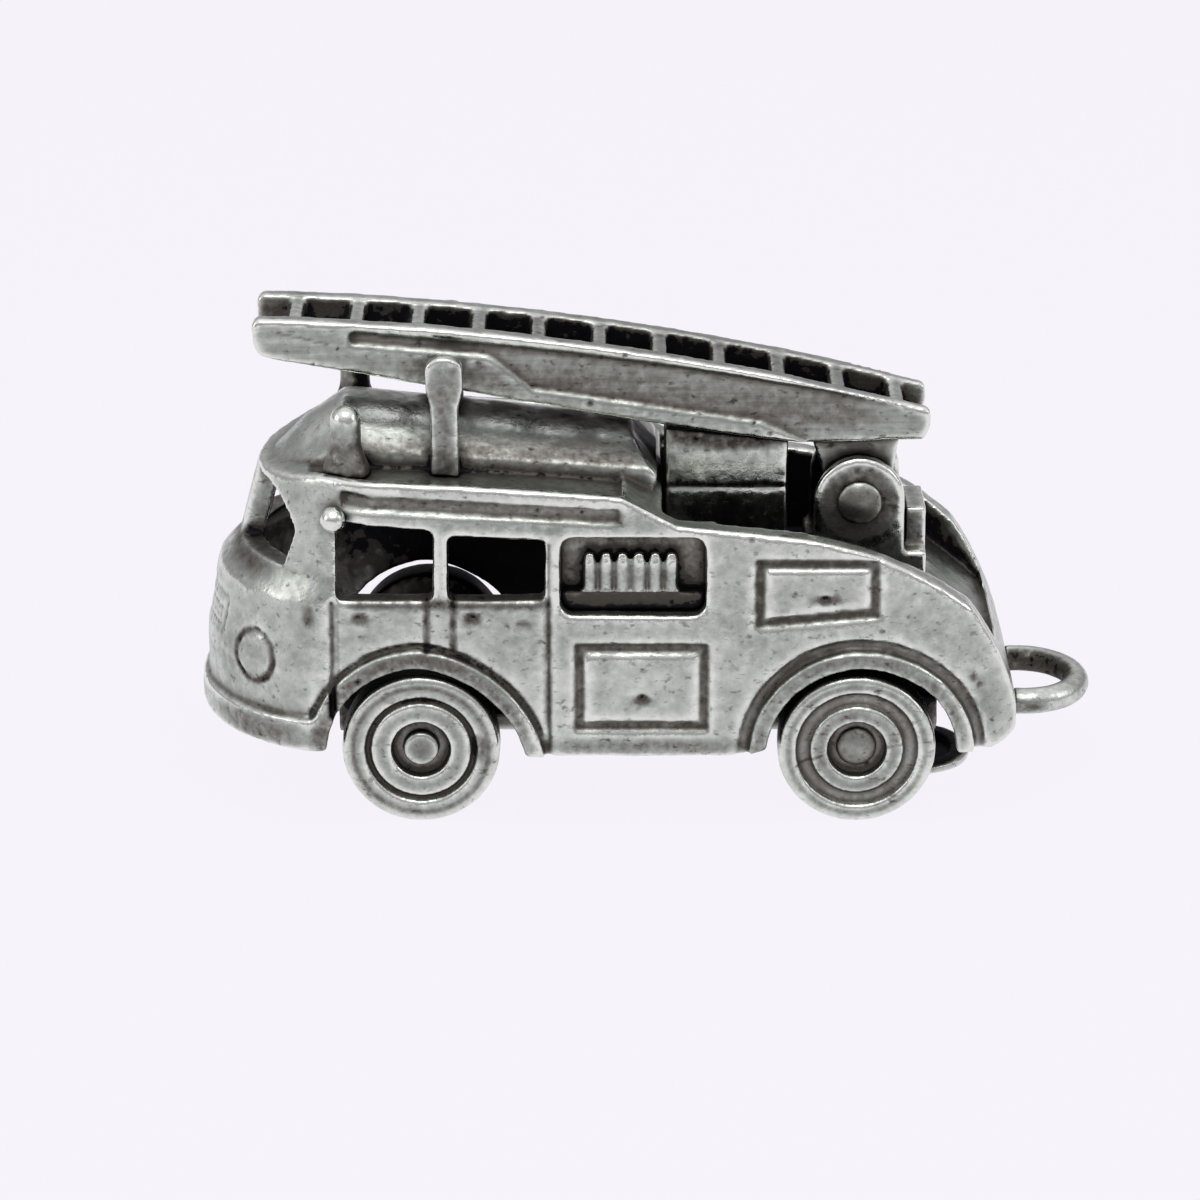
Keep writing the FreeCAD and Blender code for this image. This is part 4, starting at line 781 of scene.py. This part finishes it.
class CastWheels(bpy.types.Operator):
    """Turn the four wheels with their ring grooves and sunk hubs"""

    bl_idname = "charm.cast_wheels"
    bl_label = "Wheels"

    def execute(self, context):
        face = context.scene.charm_casting.small_face
        for end_shade_sheet in ("front", "rear"):
            for side in ("left", "right"):
                cast_node(f"wheel_{end_shade_sheet}_{side}", face, finish("turned_silver"), softness=0.5)
        return {"FINISHED"}


class CastHoseBox(bpy.types.Operator):
    """Cast the hose box on the rear deck"""

    bl_idname = "charm.cast_hose_box"
    bl_label = "Hose box"

    def execute(self, context):
        casting = context.scene.charm_casting
        cast_node("hose_box", casting.large_face, finish("browned_cast_silver"))
        return {"FINISHED"}


class CastBracket(bpy.types.Operator):
    """Cast the ladder's bracket with its two ears, and the pin through them"""

    bl_idname = "charm.cast_bracket"
    bl_label = "Ladder bracket and pin"

    def execute(self, context):
        casting = context.scene.charm_casting
        cast_node("ladder_bracket", casting.large_face, finish("browned_cast_silver"))
        cast_node("ladder_pin", casting.small_face, finish("oxidised_silver"), softness=0.4)
        return {"FINISHED"}


class CastLadder(bpy.types.Operator):
    """Cast the ladder with its rails, rungs and lug"""

    bl_idname = "charm.cast_ladder"
    bl_label = "Ladder"

    def execute(self, context):
        casting = context.scene.charm_casting
        cast_node("ladder", casting.large_face, finish("brushed_cast_silver"))
        return {"FINISHED"}


class CastRoofFittings(bpy.types.Operator):
    """Cast the forked ladder rest, the roof posts and the corner lamps"""

    bl_idname = "charm.cast_roof_fittings"
    bl_label = "Ladder rest, posts and corner lamps"

    def execute(self, context):
        casting = context.scene.charm_casting
        for node in ("ladder_rest", "roof_post_left", "roof_post_right",
                     "corner_ball_left", "corner_ball_right"):
            cast_node(node, casting.small_face, finish("rubbed_silver"))
        return {"FINISHED"}


def fill_necks(form):
    """Widen the bottles' necks to the rounded stubs that the mould leaves."""
    first, pitch, row_centre = 1.76, 0.5, 4.0
    shoulder, mouth = 8.2, 8.5
    neck_radius, mouth_radius = 0.21, 0.15
    for vert in form.verts:
        if vert.co.z > shoulder:
            axis = first - pitch * round((first - vert.co.x) / pitch)
            side = math.copysign(row_centre, vert.co.y)
            arm = Vector((vert.co.x - axis, vert.co.y - side))
            if arm.length > 0.02:
                arm *= (neck_radius if vert.co.z < mouth else mouth_radius) / arm.length
                vert.co.x, vert.co.y = axis + arm.x, side + arm.y


class CastBottles(bpy.types.Operator):
    """Cast the rows of bottles in the lockers"""

    bl_idname = "charm.cast_bottles"
    bl_label = "Locker bottles"

    def execute(self, context):
        casting = context.scene.charm_casting
        for side in ("left", "right"):
            cast_node(
                f"locker_bottles_{side}", casting.small_face, finish("bottle_silver"),
                softness=0.9, reshape=fill_necks)
        return {"FINISHED"}


class CastRing(bpy.types.Operator):
    """Bend the wire ring that the charm hangs from"""

    bl_idname = "charm.cast_ring"
    bl_label = "Hanging ring"

    def execute(self, context):
        casting = context.scene.charm_casting
        cast_node("charm_ring", casting.small_face, finish("rubbed_silver"), softness=0.5)
        return {"FINISHED"}


def seen_directly(tree):
    """1 on rays from the camera and on rays that silver or glass sends on, else 0."""
    path = add(tree, "ShaderNodeLightPath").outputs
    seen = path["Is Camera Ray"]
    for ray in ("Is Glossy Ray", "Is Transmission Ray"):
        seen = add(tree, "ShaderNodeMath", {0: seen, 1: path[ray]}, operation="MAXIMUM").outputs[0]
    return seen


def pale_paper(paper):
    """Smooth white card, lit evenly.

    It shows as its own colour to the camera and in the silver, and a thin share of it still
    takes the charm's shadow.
    """
    material = bpy.data.materials.new("pale_card")
    material.use_nodes = True
    tree = material.node_tree
    tree.nodes.clear()
    evenly_lit = 0.97
    share = add(tree, "ShaderNodeMath", {
        0: seen_directly(tree), 1: evenly_lit}, operation="MULTIPLY")
    card = add(tree, "ShaderNodeBsdfDiffuse", {"Color": (*paper, 1.0)})
    glow = add(tree, "ShaderNodeEmission", {"Color": (*paper, 1.0), "Strength": 1.0})
    both = add(tree, "ShaderNodeMixShader", {
        0: share.outputs[0], 1: card.outputs[0], 2: glow.outputs[0]})
    add(tree, "ShaderNodeOutputMaterial", {"Surface": both.outputs[0]})
    return material


def softbox(name, place, size, power):
    """A square lamp that faces the charm."""
    lamp = bpy.data.lights.new(name, "AREA")
    lamp.size = size
    lamp.energy = power
    item = bpy.data.objects.new(name, lamp)
    item.location = place
    aim = Vector((0, 0, 6 * MM)) - item.location
    item.rotation_euler = aim.to_track_quat("-Z", "Y").to_euler()
    bpy.context.scene.collection.objects.link(item)


class SetStage(bpy.types.Operator):
    """Lay the pale floor, hang the softboxes and place the camera"""

    bl_idname = "charm.set_stage"
    bl_label = "Stage, light and camera"

    def execute(self, context):
        scene = context.scene
        stage = scene.charm_stage
        half = 2.0
        corners = [(-half, -half, 0), (half, -half, 0), (half, half, 0), (-half, half, 0)]
        mesh = bpy.data.meshes.new("studio_floor")
        mesh.from_pydata(corners, [], [(0, 1, 2, 3)])
        floor = bpy.data.objects.new("studio_floor", mesh)
        scene.collection.objects.link(floor)
        paper = tuple(stage.paper)
        mesh.materials.append(pale_paper(paper))

        world = bpy.data.worlds.new("studio")
        scene.world = world
        world.use_nodes = True
        tree = world.node_tree
        strength = add(tree, "ShaderNodeMapRange", {
            "Value": seen_directly(tree), "To Min": stage.surround_strength, "To Max": 1.0})
        way = add(tree, "ShaderNodeTexCoord").outputs["Generated"]
        height = add(tree, "ShaderNodeSeparateXYZ", {0: way}).outputs[2]
        # Grey walls up to a white ceiling, so that the silver's flanks and tops differ
        wall = add(tree, "ShaderNodeMapRange", {
            "Value": height, "From Min": 0.1, "From Max": 0.85,
            "To Min": stage.wall_share, "To Max": 1.0}, interpolation_type="SMOOTHSTEP")
        level = add(tree, "ShaderNodeMath", {
            0: strength.outputs[0], 1: wall.outputs[0]}, operation="MULTIPLY")
        back = tree.nodes["Background"]
        back.inputs["Color"].default_value = (*paper, 1.0)
        tree.links.new(level.outputs[0], back.inputs["Strength"])
        scene.view_settings.view_transform = "Standard"

        softbox("top_softbox", (0.0, 0.06, 0.14), 0.10, stage.top_power)
        softbox("front_softbox", (0.14, 0.05, 0.06), 0.08, stage.side_power)
        softbox("rear_softbox", (-0.14, 0.03, 0.07), 0.08, stage.side_power)
        self.place_camera(scene, stage)
        return {"FINISHED"}

    def place_camera(self, scene, stage):
        """The left side, seen a little from above through a long lens."""
        near_plane = 4.85 * MM
        pixels_per_metre = 33000.0
        frame_pixels = 1200
        target_pixel = (646, 560)
        rise = stage.elevation
        focal_pixels = pixels_per_metre * (stage.distance - near_plane * math.cos(rise))
        back = Vector((0, math.cos(rise), math.sin(rise)))
        right = Vector((-1, 0, 0))
        up = back.cross(right)
        off_right = (target_pixel[0] - frame_pixels / 2) * stage.distance / focal_pixels
        off_up = -(target_pixel[1] - frame_pixels / 2) * stage.distance / focal_pixels
        target = Vector((0, 0, 6.8 * MM))
        data = bpy.data.cameras.new("photo_camera")
        data.sensor_width = 36
        data.lens = focal_pixels / frame_pixels * data.sensor_width
        data.clip_start = 0.01
        data.clip_end = 10
        item = bpy.data.objects.new("photo_camera", data)
        item.location = target + back * stage.distance - right * off_right - up * off_up
        item.rotation_euler = back.to_track_quat("Z", "Y").to_euler()
        scene.collection.objects.link(item)
        scene.camera = item


class CharmPanel(bpy.types.Panel):
    """The charm's pieces and settings"""

    bl_idname = "VIEW3D_PT_charm"
    bl_label = "Fire engine charm"
    bl_space_type = "VIEW_3D"
    bl_region_type = "UI"
    bl_category = "Charm"

    def draw(self, context):
        layout = self.layout
        for operator in OPERATORS:
            layout.operator(operator.bl_idname)
        for group in (context.scene.charm_casting, context.scene.charm_stage):
            box = layout.box()
            for name in group.bl_rna.properties.keys():
                if name not in ("rna_type", "name"):
                    box.prop(group, name)


OPERATORS = (
    CastBody, CastUnderside, CastWheels, CastHoseBox, CastBracket, CastLadder,
    CastRoofFittings, CastBottles, CastRing, SetStage)
CLASSES = (CharmCasting, CharmStage) + OPERATORS + (CharmPanel,)


def register():
    for item in CLASSES:
        bpy.utils.register_class(item)
    bpy.types.Scene.charm_casting = PointerProperty(type=CharmCasting)
    bpy.types.Scene.charm_stage = PointerProperty(type=CharmStage)


def unregister():
    del bpy.types.Scene.charm_stage
    del bpy.types.Scene.charm_casting
    for item in reversed(CLASSES):
        bpy.utils.unregister_class(item)


def main():
    register()
    bpy.ops.charm.cast_body()
    bpy.ops.charm.cast_underside()
    bpy.ops.charm.cast_wheels()
    bpy.ops.charm.cast_hose_box()
    bpy.ops.charm.cast_bracket()
    bpy.ops.charm.cast_ladder()
    bpy.ops.charm.cast_roof_fittings()
    bpy.ops.charm.cast_bottles()
    bpy.ops.charm.cast_ring()
    bpy.ops.charm.set_stage()
    bpy.data.objects.remove(surroundings())


if __name__ == "__main__":
    main()
